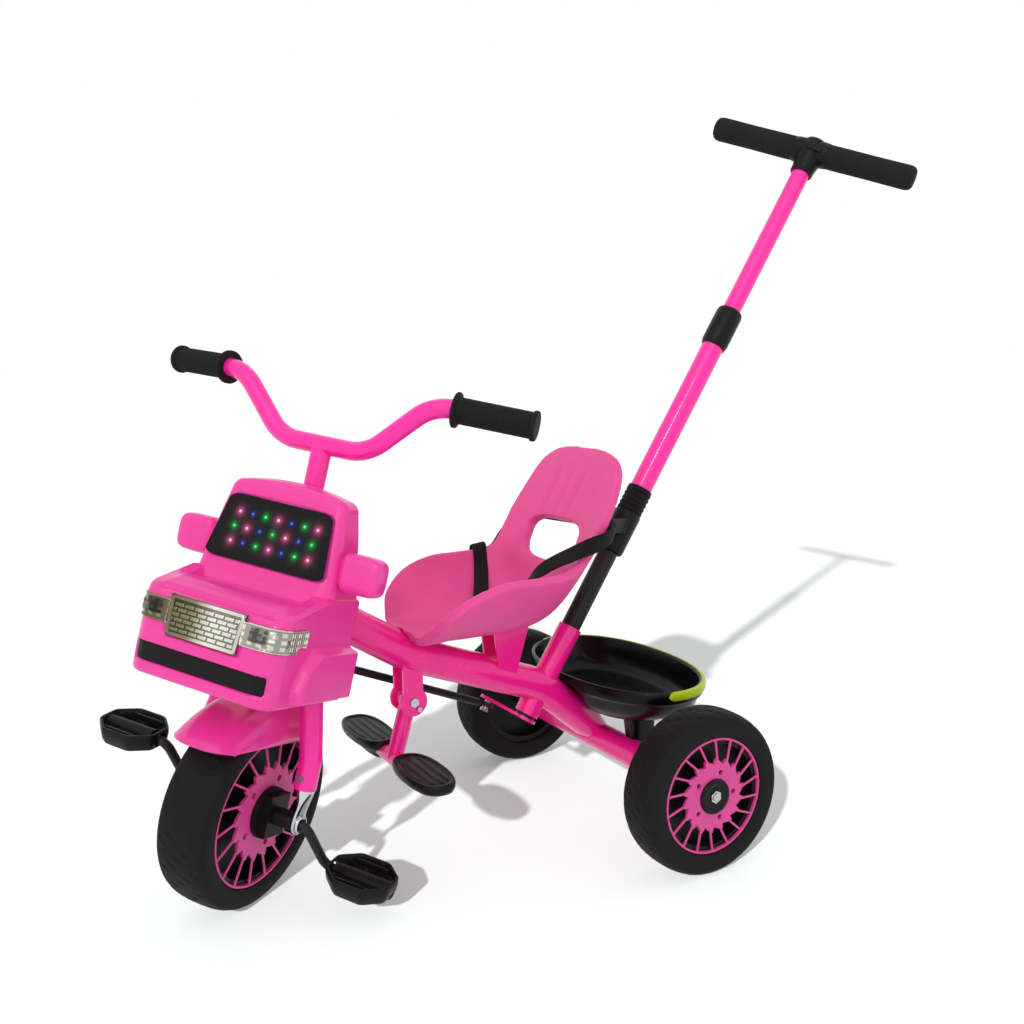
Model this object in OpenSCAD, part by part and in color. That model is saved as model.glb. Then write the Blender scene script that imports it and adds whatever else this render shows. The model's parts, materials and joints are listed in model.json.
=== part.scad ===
// Toddler push-along trike with a truck-shaped front, seen as in the photo.
// Front is -Y, the rider's left is +X, the ground is Z = 0.
// The rest pose has the fork and the push pole turned to the left.

/* [Wheels] */
// Rear wheel diameter over the tyre
rear_wheel_d = 200; // [160:1:240]
// Front wheel diameter over the tyre
front_wheel_d = 232; // [190:1:280]
// Distance between the front and the rear axle
wheelbase = 490; // [440:1:560]
// Distance between the rear tyre centres
track = 432; // [380:1:500]
// Rear tyre width
rear_tyre_w = 56; // [40:1:70]
// Front tyre width
front_tyre_w = 64; // [46:1:72]
// Rear tyre shoulder radius
rear_shoulder_r = 20; // [10:1:26]
// Front tyre shoulder radius
front_shoulder_r = 24; // [12:1:30]
// Rear disc radius
rear_disc_r = 70.7; // [55:0.1:85]
// Front disc radius
front_disc_r = 88; // [70:0.1:105]
// Disc cover thickness
disc_t = 4; // [2:0.5:6]
// Depth of the disc face below the tyre side
disc_inset = 2.6; // [1:0.1:6]
// Slots in each disc
disc_slots = 20; // [12:1:28]
// Small round holes in each disc
disc_holes = 5; // [3:1:8]

/* [Steering] */
// Backward lean of the steering axis
fork_rake = 15.4; // [10:0.1:22]
// Turn to the left in the rest pose
steer_rest = 36.6; // [0:0.1:40]
// Steerer radius
steerer_r = 12.5; // [10:0.1:14]
// Fork leg radius
leg_r = 13; // [10:0.5:15]
// Leg centre at the dropout, from the middle
leg_out = 72; // [64:1:80]
// Leg centre at the crown, from the middle
crown_half = 52; // [44:1:60]
// Crown centre above the axle
crown_z = 158; // [150:1:170]
// Height of the leg end above the axle
leg_end_z = 40; // [34:1:50]
// Height where the leg starts to lean
leg_knee_z = 72; // [60:1:90]
// Head tube lower end above the axle
head_low = 205; // [200:1:215]
// Head tube upper end above the axle
head_high = 286; // [276:1:300]
// Head tube radius
head_r = 24; // [22.5:0.5:26]
// Stem radius
stem_r = 12; // [10:0.5:13]
// Handlebar middle above the axle
bar_low_z = 421; // [400:1:440]
// Handlebar grip height above the axle
bar_high_z = 489; // [470:1:510]
// Half length of the low middle of the bar
bar_low_half = 58; // [45:1:70]
// Distance from the middle to the upper bend
bar_high_half = 128; // [115:1:140]
// Distance from the middle to the grip end
bar_end_half = 241; // [210:1:260]
// Handlebar tube radius
bar_r = 11; // [9:0.5:12.5]
// Handlebar bend radius
bar_bend_r = 42; // [30:1:50]
// Backward sweep of the grips
bar_sweep = 11.5; // [0:0.5:20]
// Grip length
grip_l = 90; // [75:1:110]
// Grip radius
grip_r = 15; // [13:0.5:18]
// Grip flange radius
grip_flange_r = 20; // [17:0.5:24]

/* [Mudguard] */
// Mudguard outer radius about the axle
guard_r = 135; // [126:1:142]
// Mudguard width
guard_w = 84; // [74:1:96]
// Mudguard wall
guard_wall = 3; // [2:0.5:4]
// Height of the lower edge above the axle
guard_low_z = 81; // [60:1:95]
// Reach behind the steering axis
guard_back = 20; // [10:1:30]

/* [Truck] */
// Half width of the hood
hood_half = 92; // [84:1:98]
// Front face of the hood ahead of the steering axis
hood_front = 142; // [125:1:155]
// Front corner radius of the hood
hood_corner_r = 22; // [12:1:30]
// Lower edge of the hood above the axle
hood_low = 146; // [146:1:152]
// Front edge of the hood top above the axle
hood_nose_z = 238; // [225:1:248]
// Foot of the cab above the axle
hood_top = 262; // [255:1:270]
// Wall of the truck shells
shell_wall = 3; // [2:0.5:4]
// Height of the sill band along the lower edge
sill_h = 8; // [4:1:12]
// Stand-out of the sill band
sill_out = 2; // [1:0.5:4]
// Cab foot ahead of the steering axis
cab_front = 68; // [60:1:76]
// Cab roof front edge ahead of the steering axis
roof_front = 48; // [40:1:56]
// Cab roof above the axle
roof_z = 369; // [355:1:380]
// Half width of the cab foot
cab_half = 89; // [80:1:92]
// Half width of the roof
roof_half = 76; // [66:1:82]
// Roof edge chamfer
roof_chamfer = 7; // [3:1:12]
// Wheel arch length
arch_l = 105; // [90:1:115]
// Wheel arch lower edge above the axle
arch_low = 153; // [148:1:160]
// Wheel arch upper edge above the axle
arch_high = 209; // [195:1:220]
// Stand-out of the wheel arch
arch_out = 12; // [6:1:16]
// Windscreen lower edge above the axle
screen_low = 277; // [270:1:285]
// Windscreen upper edge above the axle
screen_high = 349; // [340:1:356]
// Half width of the windscreen foot
screen_half_low = 80; // [70:1:84]
// Half width of the windscreen top
screen_half_high = 68; // [58:1:72]
// Windscreen thickness
screen_t = 2.5; // [1.5:0.5:4]
// Radius of one light
light_r = 3.2; // [2:0.1:4]
// Distance between lights in a row
light_pitch = 19; // [14:0.5:21]
// Distance between rows of lights
light_row = 17; // [12:0.5:20]
// Stand-out of a light
light_t = 0.8; // [0.4:0.1:1.5]
// Half width of the grille
grille_half = 48; // [40:1:56]
// Grille lower edge above the axle
grille_low = 194; // [188:1:200]
// Grille thickness
grille_t = 5; // [3:0.5:7]
// Headlight lower edge above the axle
lamp_low = 205; // [198:1:212]
// Headlight upper edge above the axle
lamp_high = 231; // [222:1:234]
// Headlight thickness
lamp_t = 2.5; // [1.5:0.5:4]
// Rear end of the headlight ahead of the steering axis
lamp_back = 92; // [80:1:110]
// Bumper strip lower edge above the axle
bumper_low = 160; // [156:1:166]
// Bumper strip upper edge above the axle
bumper_high = 181; // [174:1:186]
// Half width of the bumper strip
bumper_half = 82; // [70:1:86]
// Bumper strip thickness
bumper_t = 2; // [1:0.5:2.5]
// Mirror width
mirror_w = 46; // [36:1:54]
// Mirror height
mirror_h = 43; // [34:1:50]
// Mirror depth
mirror_d = 30; // [20:1:38]
// Mirror foot above the axle
mirror_z = 271; // [264:1:280]

/* [Crank and pedals] */
// Crank radius
crank_l = 58; // [45:1:70]
// Crank rod radius
crank_r = 5.5; // [4:0.1:7]
// Crank angle behind straight down on the left
crank_rest = 35; // [0:1:90]
// Where the crank bends, from the middle
crank_bend = 86; // [84:1:92]
// Inner end of the pedal, from the middle
pedal_in = 108; // [104:1:116]
// Pedal width
pedal_w = 82; // [70:1:95]
// Pedal length
pedal_l = 64; // [52:1:76]
// Pedal thickness
pedal_t = 22; // [18:1:28]

/* [Frame] */
// Main tube radius
tube_r = 22; // [18:0.5:25]
// Main tube bend ahead of the rear axle
bend_y = 280; // [260:1:300]
// Height of the main tube bend
bend_z = 260; // [240:1:280]
// Pole crossing ahead of the rear axle
dip_y = 95; // [80:1:110]
// Height of the pole crossing
dip_z = 189; // [175:1:200]
// Rise of the main tube end above the rear axle
tail_rise = 8; // [0:1:14]
// Rear axle tube radius
axle_tube_r = 19; // [16:0.5:22]
// Gap between the axle tube and the wheel
axle_tube_gap = 4; // [2:0.5:10]
// Rear axle radius
axle_r = 5; // [4:0.5:6]

/* [Push pole] */
// Backward lean of the push pole
pole_tilt = 33.3; // [25:0.1:40]
// Handle centre behind the rear axle
tee_y = 374; // [340:1:410]
// Height of the handle centre
tee_z = 896; // [820:1:960]
// Half length of the handle
tee_half = 149; // [125:1:170]
// Foam grip radius
foam_r = 17; // [14:0.5:20]
// Handle bar radius
tee_bar_r = 11; // [9:0.5:13]
// Upper pole radius
upper_r = 12.7; // [11:0.1:14]
// Lower pole radius
lower_r = 15.2; // [14:0.1:17]
// Wall of the pole tubes
pole_wall = 1.6; // [1:0.1:2.4]
// Turning shaft radius
shaft_r = 13; // [11.5:0.1:14]
// Frame socket radius
socket_r = 16; // [15:0.1:18]
// Handle centre to the upper collar
collar_from = 268; // [250:1:290]
// Upper collar length
collar_l = 58; // [40:1:70]
// Collar radius
collar_r = 18.5; // [17.5:0.5:21]
// Handle centre to the lower collar
wrap_from = 588; // [560:1:600]
// Lower collar length
wrap_l = 60; // [40:1:70]
// Handle centre to the top of the frame socket
socket_from = 762; // [740:1:780]
// Handle centre to the lower end of the frame socket
socket_to = 890; // [875:1:900]
// Telescope travel
pole_travel = 180; // [80:5:190]
// Steering arm length
arm_l = 55; // [45:1:65]
// Steering arm thickness
arm_t = 4; // [3:0.5:6]
// Sideways lean of the rod pin
pin_lean = 2.74; // [0:0.01:5]
// Rod pin radius
pin_r = 4; // [3:0.5:5]
// Steering rod radius
rod_r = 5; // [4:0.5:7]
// Fork arm above the axle
fork_arm_z = 191; // [188:1:196]

/* [Seat] */
// Seat width
seat_w = 200; // [170:1:230]
// Front edge of the seat ahead of the rear axle
seat_front = 292; // [270:1:310]
// Rear edge of the seat pan ahead of the rear axle
seat_back = 92; // [80:1:110]
// Underside height of the seat
seat_z = 276; // [268:1:290]
// Seat shell thickness
seat_t = 14; // [8:1:18]
// Bowl radius of the seat pan
bowl_r = 112; // [104:1:150]
// Backrest lean
back_lean = 26.6; // [15:0.1:35]
// Backrest length
back_l = 220; // [180:1:250]
// Backrest half width
back_half = 85; // [70:1:95]
// Backrest hollow radius
back_bowl_r = 150; // [110:1:220]
// Backrest thickness
back_t = 14; // [8:1:20]
// Foot of the backrest ahead of the rear axle
back_y = 108; // [95:1:120]
// Foot of the backrest above the seat underside
back_rise = 24; // [10:1:40]
// Width of the hole in the backrest
hole_w = 104; // [80:1:120]
// Height of the hole in the backrest
hole_h = 52; // [35:1:65]
// Hole above the foot of the backrest
hole_z = 63; // [50:1:80]
// Strap width
strap_w = 22; // [15:1:28]
// Strap thickness
strap_t = 2.4; // [1.6:0.1:4]

/* [Basket] */
// Basket rim width
basket_w = 322; // [280:1:330]
// Front of the basket rim ahead of the rear axle
basket_front = 60; // [50:1:64]
// Rear of the basket rim behind the rear axle
basket_back = 120; // [100:1:150]
// Basket rim height above the ground
basket_rim_z = 200; // [190:1:215]
// Basket floor height above the ground
basket_floor_z = 150; // [146:1:165]
// Basket floor width
basket_floor_w = 240; // [200:1:270]
// Front of the basket floor behind the rear axle
basket_floor_front = 12; // [8:1:30]
// Rear of the basket floor behind the rear axle
basket_floor_back = 100; // [85:1:120]
// Basket wall
basket_wall = 3; // [2:0.5:4]
// Height of the rim band
rim_h = 13; // [8:1:20]
// Stand-out of the rim band
rim_out = 3; // [2:0.5:6]

/* [Footrest] */
// Footrest pivot ahead of the rear axle
foot_y = 282; // [270:1:300]
// Height of the footrest pivot
foot_z = 203; // [190:1:215]
// Forward lean of the footrest leg
foot_lean = 16.5; // [0:0.5:30]
// Footrest leg length
foot_l = 75; // [60:1:90]
// Footrest leg radius
foot_leg_r = 10.5; // [8:0.5:11]
// Cross tube radius
foot_bar_r = 9.5; // [7:0.5:11]
// Half length of the cross tube
foot_bar_half = 92; // [70:1:110]
// Pad inner end, from the middle
pad_in = 33; // [25:1:40]
// Pad length
pad_l = 118; // [95:1:130]
// Pad width
pad_w = 52; // [40:1:60]
// Pad thickness
pad_t = 7; // [5:0.5:10]
// Cheek plate radius
cheek_r = 18; // [15:0.5:22]
// Cheek plate neck width
cheek_neck = 26; // [20:1:32]
// Cheek plate thickness
cheek_t = 4; // [3:0.5:5]
// Inner face of a cheek plate, from the middle
cheek_in = 12; // [11:0.5:15]

/* [Fits and fasteners] */
// Radial clearance of a turning or sliding shaft
run_gap = 0.08; // [0.02:0.01:0.1]
// Plain gap between neighbours that move
side_gap = 0.6; // [0.4:0.1:2]
// Clearance of the opened rod eye
eye_gap = 1.6; // [1:0.1:3]
// Hexagon radius of bolt heads
bolt_head_r = 6; // [4:0.5:8]
// Bolt head height
bolt_head_h = 3.5; // [2:0.5:5]
// Bolt shank radius
bolt_r = 3; // [2:0.5:4]

/* [Hidden] */
$fn = 96;
overrun = 20;
ball_share = 1.02;
bar_steps = 3;
rear_axle_z = rear_wheel_d / 2;
lean_back = asin(sin(fork_rake) * sin(steer_rest));
front_flat = front_tyre_w / 2 - front_shoulder_r;
front_axle_z = (front_wheel_d / 2 - front_shoulder_r) * cos(lean_back)
             + front_flat * sin(lean_back) + front_shoulder_r;
head_mid = (head_low + head_high) / 2;
head_y = head_mid * sin(fork_rake) - wheelbase;
head_z = head_mid * cos(fork_rake) + front_axle_z;
tail_z = rear_axle_z + tail_rise;
tube_points = [[0, head_y, head_z], [0, -bend_y, bend_z], [0, -dip_y, dip_z], [0, 0, tail_z]];
wheel_in = track / 2 - rear_tyre_w / 2;
axle_tube_half = wheel_in - axle_tube_gap;
rear_core_half = rear_tyre_w / 2 - disc_inset - disc_t;
front_core_half = front_tyre_w / 2 - disc_inset - disc_t;
rear_hub_r = axle_r * 3;
cap_r = axle_r * 2.6;
cap_out = disc_inset + disc_t;
nut_r = axle_r * 1.6;
front_hub_r = crank_r * 5.4;
hub_step = disc_inset + disc_t;
sleeve_r = crank_r * 1.9;
drop_t = crank_r * 0.9;
drop_w = crank_r * 3.6;
drop_in = leg_out - drop_t / 2;
boss_out = drop_t * 0.8;
arm_w = pin_r * 6;
pedal_edge = pedal_l / 2;
pedal_outline = [
    [0, -pedal_edge * 0.55], [pedal_w * 0.24, -pedal_edge], [pedal_w * 0.76, -pedal_edge],
    [pedal_w, -pedal_edge * 0.62], [pedal_w, pedal_edge * 0.62], [pedal_w * 0.76, pedal_edge],
    [pedal_w * 0.24, pedal_edge], [0, pedal_edge * 0.55]];
spoke_skew = 9;
slot_in_half = 5.4;
slot_out_half = 6.9;
slot_in_share = 0.6;
slot_out_share = 0.945;
hole_ring_share = 0.4;
hole_share = 0.055;
light_rows = ["RBGRBGR", "GRBGRBG", "RBGRBGR"];
light_shift_share = 0.12;
turn_y = sin(steer_rest) * cos(pole_tilt);
rear_y = tee_y + tee_half * turn_y + foam_r * sqrt(1 - turn_y * turn_y);
function steered_y(h, y, z) =
    (h * sin(steer_rest) + y * cos(steer_rest)) * cos(fork_rake) + z * sin(fork_rake) - wheelbase;
far_pedal_ys = [for (p = pedal_outline) for (s = [-1, 1]) steered_y(
    -pedal_in - p[0],
    p[1] * cos(fork_rake) - s * pedal_t / 2 * sin(fork_rake) - crank_l * sin(crank_rest),
    p[1] * sin(fork_rake) + s * pedal_t / 2 * cos(fork_rake) + crank_l * cos(crank_rest))];
front_y = min(far_pedal_ys);
mid_y = (front_y + rear_y) / 2;
seat_bolt_ys = [seat_front - seat_w * 0.64, seat_front - seat_w * 0.83];
bracket_front = seat_bolt_ys[0] + bolt_head_r;
bracket_back = seat_bolt_ys[1] - bolt_head_r;
bracket_half = tube_r * 0.9;
bracket_wall = cheek_t;
rod_pin_z = -socket_to - arm_t * 3.4;
eye_t = pin_r * 1.5;
eye_r = pin_r * 2.2;
wide_eye_r = pin_r + eye_gap;

function unit(v) = v / norm(v);
function polar(r, a) = [r * cos(a), r * sin(a)];
function corner_point(p, q, s, bend, steps, k) = let (
    d1 = unit(q - p),
    d2 = unit(s - q),
    turn = acos(d1 * d2),
    inward = unit(d2 - d1 * (d1 * d2)),
    a = (k - 1 / 2) * turn / steps,
    reach = bend / cos(turn / steps / 2))
    q - d1 * (bend * tan(turn / 2)) + inward * bend + (d1 * sin(a) - inward * cos(a)) * reach;
function bent(p, bend, steps) = [
    p[0],
    for (i = [1:len(p) - 2]) for (k = [1:steps]) corner_point(p[i - 1], p[i], p[i + 1], bend, steps, k),
    p[len(p) - 1]];

module placed() translate([0, -mid_y, 0]) children();
module on_head() placed() translate([0, -wheelbase, front_axle_z]) rotate([-fork_rake, 0, 0]) children();
module steered() on_head() rotate([0, 0, steer_rest]) children();
module on_pole() placed() translate([0, tee_y, tee_z]) rotate([-pole_tilt, 0, 0]) children();
module turned() on_pole() rotate([0, 0, steer_rest]) children();
module wheel_at(s) placed() translate([s * track / 2, 0, rear_axle_z]) rotate([0, s * 90, 0]) children();
module both() for (s = [-1, 1]) scale_side(s) children();
module scale_side(s) {
    if (s > 0) children();
    else mirror([1, 0, 0]) children();
}
module along_x(from, to, r) translate([from, 0, 0]) rotate([0, 90, 0]) cylinder(h = to - from, r = r);
module between(p, q, r) {
    d = q - p;
    translate(p) rotate([0, acos(d[2] / norm(d)), atan2(d[1], d[0])]) cylinder(h = norm(d), r = r);
}
module bent_tube(p, r) {
    for (i = [0:len(p) - 2]) between(p[i], p[i + 1], r);
    for (i = [1:len(p) - 2]) translate(p[i]) sphere(r = r * ball_share);
}
module round_box(w, from, to, front_r, back_r) {
    translate([-w / 2, from + front_r]) square([w, to - from - front_r - back_r]);
    translate([front_r - w / 2, from]) square([w - 2 * front_r, front_r]);
    translate([back_r - w / 2, to - back_r]) square([w - 2 * back_r, back_r]);
    for (s = [-1, 1]) {
        translate([s * (w / 2 - front_r), from + front_r]) circle(r = front_r);
        translate([s * (w / 2 - back_r), to - back_r]) circle(r = back_r);
    }
}
module bolt(length) {
    cylinder(h = bolt_head_h, r = bolt_head_r, $fn = 6);
    translate([0, 0, -length]) cylinder(h = length, r = bolt_r);
}

module tyre(d, w, shoulder, bore) rotate_extrude() difference() {
    union() {
        translate([bore, -w / 2]) square([d / 2 - shoulder - bore, w]);
        translate([d / 2 - shoulder, shoulder - w / 2]) square([shoulder, w - 2 * shoulder]);
        for (s = [-1, 1]) translate([d / 2 - shoulder, s * (w / 2 - shoulder)]) circle(r = shoulder);
    }
    translate([0, -w]) square([bore, 2 * w]);
}
module core(r, half, hub_r, bore) difference() {
    union() {
        difference() {
            translate([0, 0, -half]) cylinder(h = 2 * half, r = r);
            translate([0, 0, -half - overrun]) cylinder(h = 2 * half + 2 * overrun, r = r - disc_t * 2);
        }
        translate([0, 0, -disc_t]) cylinder(h = 2 * disc_t, r = r - disc_t);
        translate([0, 0, -half]) cylinder(h = 2 * half, r = hub_r);
    }
    translate([0, 0, -half - overrun]) cylinder(h = 2 * half + 2 * overrun, r = bore);
}
module disc(r, bore) linear_extrude(disc_t) difference() {
    circle(r = r);
    circle(r = bore);
    for (i = [1:disc_slots]) {
        a = i * 360 / disc_slots;
        polygon([polar(r * slot_in_share, a - slot_in_half),
                 polar(r * slot_out_share, a + spoke_skew - slot_out_half),
                 polar(r * slot_out_share, a + spoke_skew + slot_out_half),
                 polar(r * slot_in_share, a + slot_in_half)]);
    }
    for (i = [1:disc_holes]) translate(polar(r * hole_ring_share, i * 360 / disc_holes)) circle(r = r * hole_share);
}

module tube_solid() placed() bent_tube(tube_points, tube_r);
module head_solid() on_head() translate([0, 0, head_low]) cylinder(h = head_high - head_low, r = head_r);
module axle_solid() placed() translate([0, 0, rear_axle_z]) along_x(-axle_tube_half, axle_tube_half, axle_tube_r);
module socket_solid() on_pole() translate([0, 0, -socket_to]) cylinder(h = socket_to - socket_from, r = socket_r);

module main_tube() color("DeepPink") difference() {
    tube_solid();
    head_solid();
    axle_solid();
    socket_solid();
}
module head_tube() color("DeepPink") difference() {
    head_solid();
    on_head() translate([0, 0, head_low - overrun])
        cylinder(h = head_high - head_low + 2 * overrun, r = head_r - cheek_t);
}
module headset_bush() difference() {
    union() {
        translate([0, 0, -cheek_t]) cylinder(h = cheek_t, r = head_r);
        cylinder(h = head_r, r = head_r - cheek_t);
    }
    translate([0, 0, -overrun]) cylinder(h = head_r + 2 * overrun, r = steerer_r + run_gap);
}
module headset_bushes() color("DimGray") on_head() {
    translate([0, 0, head_low]) headset_bush();
    translate([0, 0, head_high]) mirror([0, 0, 1]) headset_bush();
}
module axle_tube() color("DeepPink") difference() {
    axle_solid();
    placed() translate([0, 0, rear_axle_z]) along_x(-track, track, axle_r);
}
module rear_axle() color("Silver") placed() translate([0, 0, rear_axle_z])
    along_x(-track / 2 - rear_tyre_w / 2 - disc_inset, track / 2 + rear_tyre_w / 2 + disc_inset, axle_r);
module axle_nuts() color("Silver") for (s = [-1, 1]) wheel_at(s) difference() {
    translate([0, 0, rear_tyre_w / 2 - disc_inset + side_gap]) cylinder(h = disc_inset + side_gap, r = nut_r, $fn = 6);
    translate([0, 0, -overrun]) cylinder(h = track, r = axle_r);
}
module pole_socket() color("DeepPink") difference() {
    socket_solid();
    on_pole() translate([0, 0, -socket_to - overrun])
        cylinder(h = socket_to - socket_from + 2 * overrun, r = shaft_r + run_gap);
}

function tube_axis_z(y) = bend_z + (dip_z - bend_z) * (bend_y - y) / (bend_y - dip_y);
module bracket_box(half) rotate([90, 0, -90]) translate([0, 0, -half]) linear_extrude(2 * half) polygon([
    [bracket_front - bolt_head_r, tube_axis_z(bracket_front - bolt_head_r)], [bracket_front, seat_z],
    [bracket_back, seat_z], [bracket_back + tube_r, tube_axis_z(bracket_back + tube_r)]]);
module seat_bracket() color("DeepPink") difference() {
    placed() bracket_box(bracket_half);
    translate([0, 0, -bracket_wall]) placed() bracket_box(bracket_half - bracket_wall);
    tube_solid();
    socket_solid();
    for (y = seat_bolt_ys) placed() translate([0, -y, seat_z - overrun]) cylinder(h = 2 * overrun, r = bolt_r);
}
module seat_bolts() color("Silver") for (y = seat_bolt_ys) placed() translate([0, -y, seat_z - bracket_wall])
    rotate([180, 0, 0]) bolt(bracket_wall + seat_t / 2);

module bowl_solid() translate([0, -seat_front - overrun, seat_z + seat_t + bowl_r]) rotate([-90, 0, 0])
    cylinder(h = seat_front + overrun, r = bowl_r);
module seat_pan() difference() {
    intersection() {
        translate([0, 0, seat_z]) linear_extrude(bowl_r)
            round_box(seat_w, -seat_front, -seat_back, seat_w * 0.36, seat_w * 0.2);
        translate([0, -seat_front - overrun, seat_z + bowl_r]) rotate([-90, 0, 0])
            cylinder(h = seat_front + overrun, r = bowl_r);
    }
    bowl_solid();
}
module back_outline() difference() {
    union() {
        translate([-back_half, -back_rise / 2]) square([2 * back_half, back_l - back_half + back_rise / 2]);
        translate([0, back_l - back_half]) circle(r = back_half);
    }
    translate([0, hole_z]) round_box(hole_w, 0, hole_h, hole_h * 0.3, hole_h * 0.4);
}
module backrest() translate([0, -back_y, seat_z + back_rise]) rotate([-back_lean, 0, 0]) intersection() {
    rotate([90, 0, 0]) translate([0, 0, -overrun]) linear_extrude(back_bowl_r) back_outline();
    translate([0, -back_bowl_r, -back_l]) difference() {
        cylinder(h = 3 * back_l, r = back_bowl_r + back_t);
        cylinder(h = 3 * back_l, r = back_bowl_r);
    }
}
module seat_shell() color("HotPink") difference() {
    placed() union() {
        seat_pan();
        backrest();
    }
    placed() bent_tube(tube_points, tube_r + side_gap);
    for (y = seat_bolt_ys) placed() translate([0, -y, seat_z]) cylinder(h = seat_t / 2, r = bolt_r);
}

strap_points = [
    [collar_r + strap_t * 2, back_y * 0.2, seat_z + back_l * 0.49],
    [back_half + strap_t * 2, -back_y * 0.48, seat_z + back_l * 0.53],
    [back_half + strap_t * 2.4, -back_y * 1.06, seat_z + back_l * 0.4],
    [seat_w * 0.3, -back_y * 1.4, seat_z + seat_t * 3.2],
    [strap_w * 0.6, -back_y * 1.6, seat_z + seat_t * 1.7]];
strap_dirs = [[0, 0.4, 0.9], [0, 0.3, 0.95], [0, 0.5, 0.85], [0.3, 0.9, 0.3], [0, 1, 0.1]];
module strap_edge(i) {
    d = unit(strap_dirs[i]) * (strap_w / 2 - strap_t / 2);
    between(strap_points[i] - d, strap_points[i] + d, strap_t / 2, $fn = 8);
}
module strap() for (i = [0:len(strap_points) - 2]) hull() {
    strap_edge(i);
    strap_edge(i + 1);
}
module harness_straps() color("Black") placed() both() strap();
module harness_buckle() color("Black") placed() intersection() {
    translate([0, -back_y * 1.6, seat_z + seat_t * 1.4])
        cube([strap_w * 1.2 - strap_t - side_gap, strap_w * 1.3, seat_t * 1.2], center = true);
    bowl_solid();
}

module basket_hull(wall) hull() {
    translate([0, 0, basket_floor_z + wall]) linear_extrude(basket_wall, $fn = 48) round_box(
        basket_floor_w - 2 * wall, basket_floor_front + wall, basket_floor_back - wall,
        basket_wall * 9, basket_wall * 12);
    translate([0, 0, basket_rim_z - basket_wall + wall]) linear_extrude(basket_wall, $fn = 48) round_box(
        basket_w - 2 * wall, -basket_front + wall, basket_back - wall, basket_wall * 18, basket_wall * 28);
}
module rim_ring(out, from, to) translate([0, 0, from]) linear_extrude(to - from) difference() {
    round_box(basket_w + 2 * out, -basket_front - out, basket_back + out,
        basket_wall * 18 + out, basket_wall * 28 + out);
    round_box(basket_w - 2 * basket_wall, -basket_front + basket_wall, basket_back - basket_wall,
        basket_wall * 17, basket_wall * 27);
}
basket_screw_xs = [-basket_floor_w * 0.3, basket_floor_w * 0.3];
basket_foot = axle_tube_r * 0.75;
basket_screw_h = basket_wall * 0.6;
module at_basket_screw(x) translate([x, basket_floor_front + basket_foot,
    basket_floor_z + basket_wall - basket_screw_h]) children();
module basket() color("DimGray") difference() {
    placed() union() {
        difference() {
            basket_hull(0);
            basket_hull(basket_wall);
        }
        rim_ring(rim_out, basket_rim_z - rim_h, basket_rim_z);
        for (x = basket_screw_xs) translate([x - basket_foot, -basket_foot, rear_axle_z])
            cube([2 * basket_foot, basket_floor_front + 3 * basket_foot, basket_floor_z - rear_axle_z]);
    }
    axle_solid();
    tube_solid();
    for (x = basket_screw_xs) placed() at_basket_screw(x)
        cylinder(h = basket_wall, r = bolt_head_r + side_gap);
}
module basket_strip() color("GreenYellow") placed() intersection() {
    difference() {
        rim_ring(rim_out + basket_wall, basket_rim_z - rim_h + rim_out, basket_rim_z - rim_out);
        rim_ring(rim_out, basket_rim_z - rim_h, basket_rim_z);
        translate([0, 0, rear_axle_z]) linear_extrude(basket_rim_z)
            round_box(basket_w - 2 * basket_wall, -basket_front + basket_wall, basket_back - basket_wall,
                basket_wall * 17, basket_wall * 27);
    }
    translate([-track / 2, basket_floor_front * 2, 0]) cube([track, track, tee_z]);
}
module basket_screws() color("Silver") for (x = basket_screw_xs) placed() at_basket_screw(x)
    cylinder(h = basket_screw_h, r = bolt_head_r);

module cheek_plate(from) translate([from, 0, 0]) rotate([90, 0, 90]) linear_extrude(cheek_t) {
    translate([-foot_y, foot_z]) circle(r = cheek_r);
    translate([-foot_y - cheek_neck / 2, foot_z]) square([cheek_neck, bend_z - foot_z]);
}
lock_y = cheek_r * 0.35;
lock_z = cheek_r * 0.52;
module foot_holes(r) placed() {
    translate([0, -foot_y, foot_z]) along_x(-track / 2, track / 2, r);
}
module footrest_bracket() color("DeepPink") difference() {
    placed() for (x = [-cheek_in - cheek_t, cheek_in]) cheek_plate(x);
    tube_solid();
    foot_holes(bolt_r);
}
module footrest_bolts() color("Silver") placed() translate([0, -foot_y, foot_z]) {
    along_x(-cheek_in - cheek_t, cheek_in + cheek_t, bolt_r);
    for (s = [-1, 1]) translate([s * (cheek_in + cheek_t), 0, 0]) rotate([0, s * 90, 0])
        cylinder(h = bolt_head_h, r = bolt_head_r, $fn = 6);
    for (s = [-1, 1]) translate([s * (cheek_in + cheek_t), lock_y, -lock_z]) rotate([0, s * 90, 0])
        cylinder(h = bolt_head_h, r = bolt_r);
}

leg_points = [[-leg_out, 0, leg_end_z], [-leg_out, 0, leg_knee_z], [-crown_half, 0, crown_z],
    [crown_half, 0, crown_z], [leg_out, 0, leg_knee_z], [leg_out, 0, leg_end_z]];
steerer_top = head_high + head_r;
module leg_tube() bent_tube(leg_points, leg_r);
module fork() color("DeepPink") steered() {
    leg_tube();
    translate([0, 0, crown_z]) cylinder(h = steerer_top - crown_z, r = steerer_r);
}
module dropout() difference() {
    union() {
        translate([drop_in, -drop_w / 2, 0]) cube([drop_t, drop_w, leg_end_z]);
        along_x(drop_in, drop_in + drop_t, drop_w * 0.62);
        along_x(drop_in, drop_in + drop_t + boss_out, drop_w / 2);
    }
    along_x(0, track, crank_r + run_gap);
}
module fork_dropouts() color("Silver") steered() both() dropout();
module dropout_screws() color("Silver") steered() difference() {
    both() translate([leg_out, 0, leg_end_z + leg_r]) rotate([90, 0, 0])
        cylinder(h = leg_r + bolt_head_h * 0.6, r = bolt_r * 1.2);
    leg_tube();
}
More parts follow.
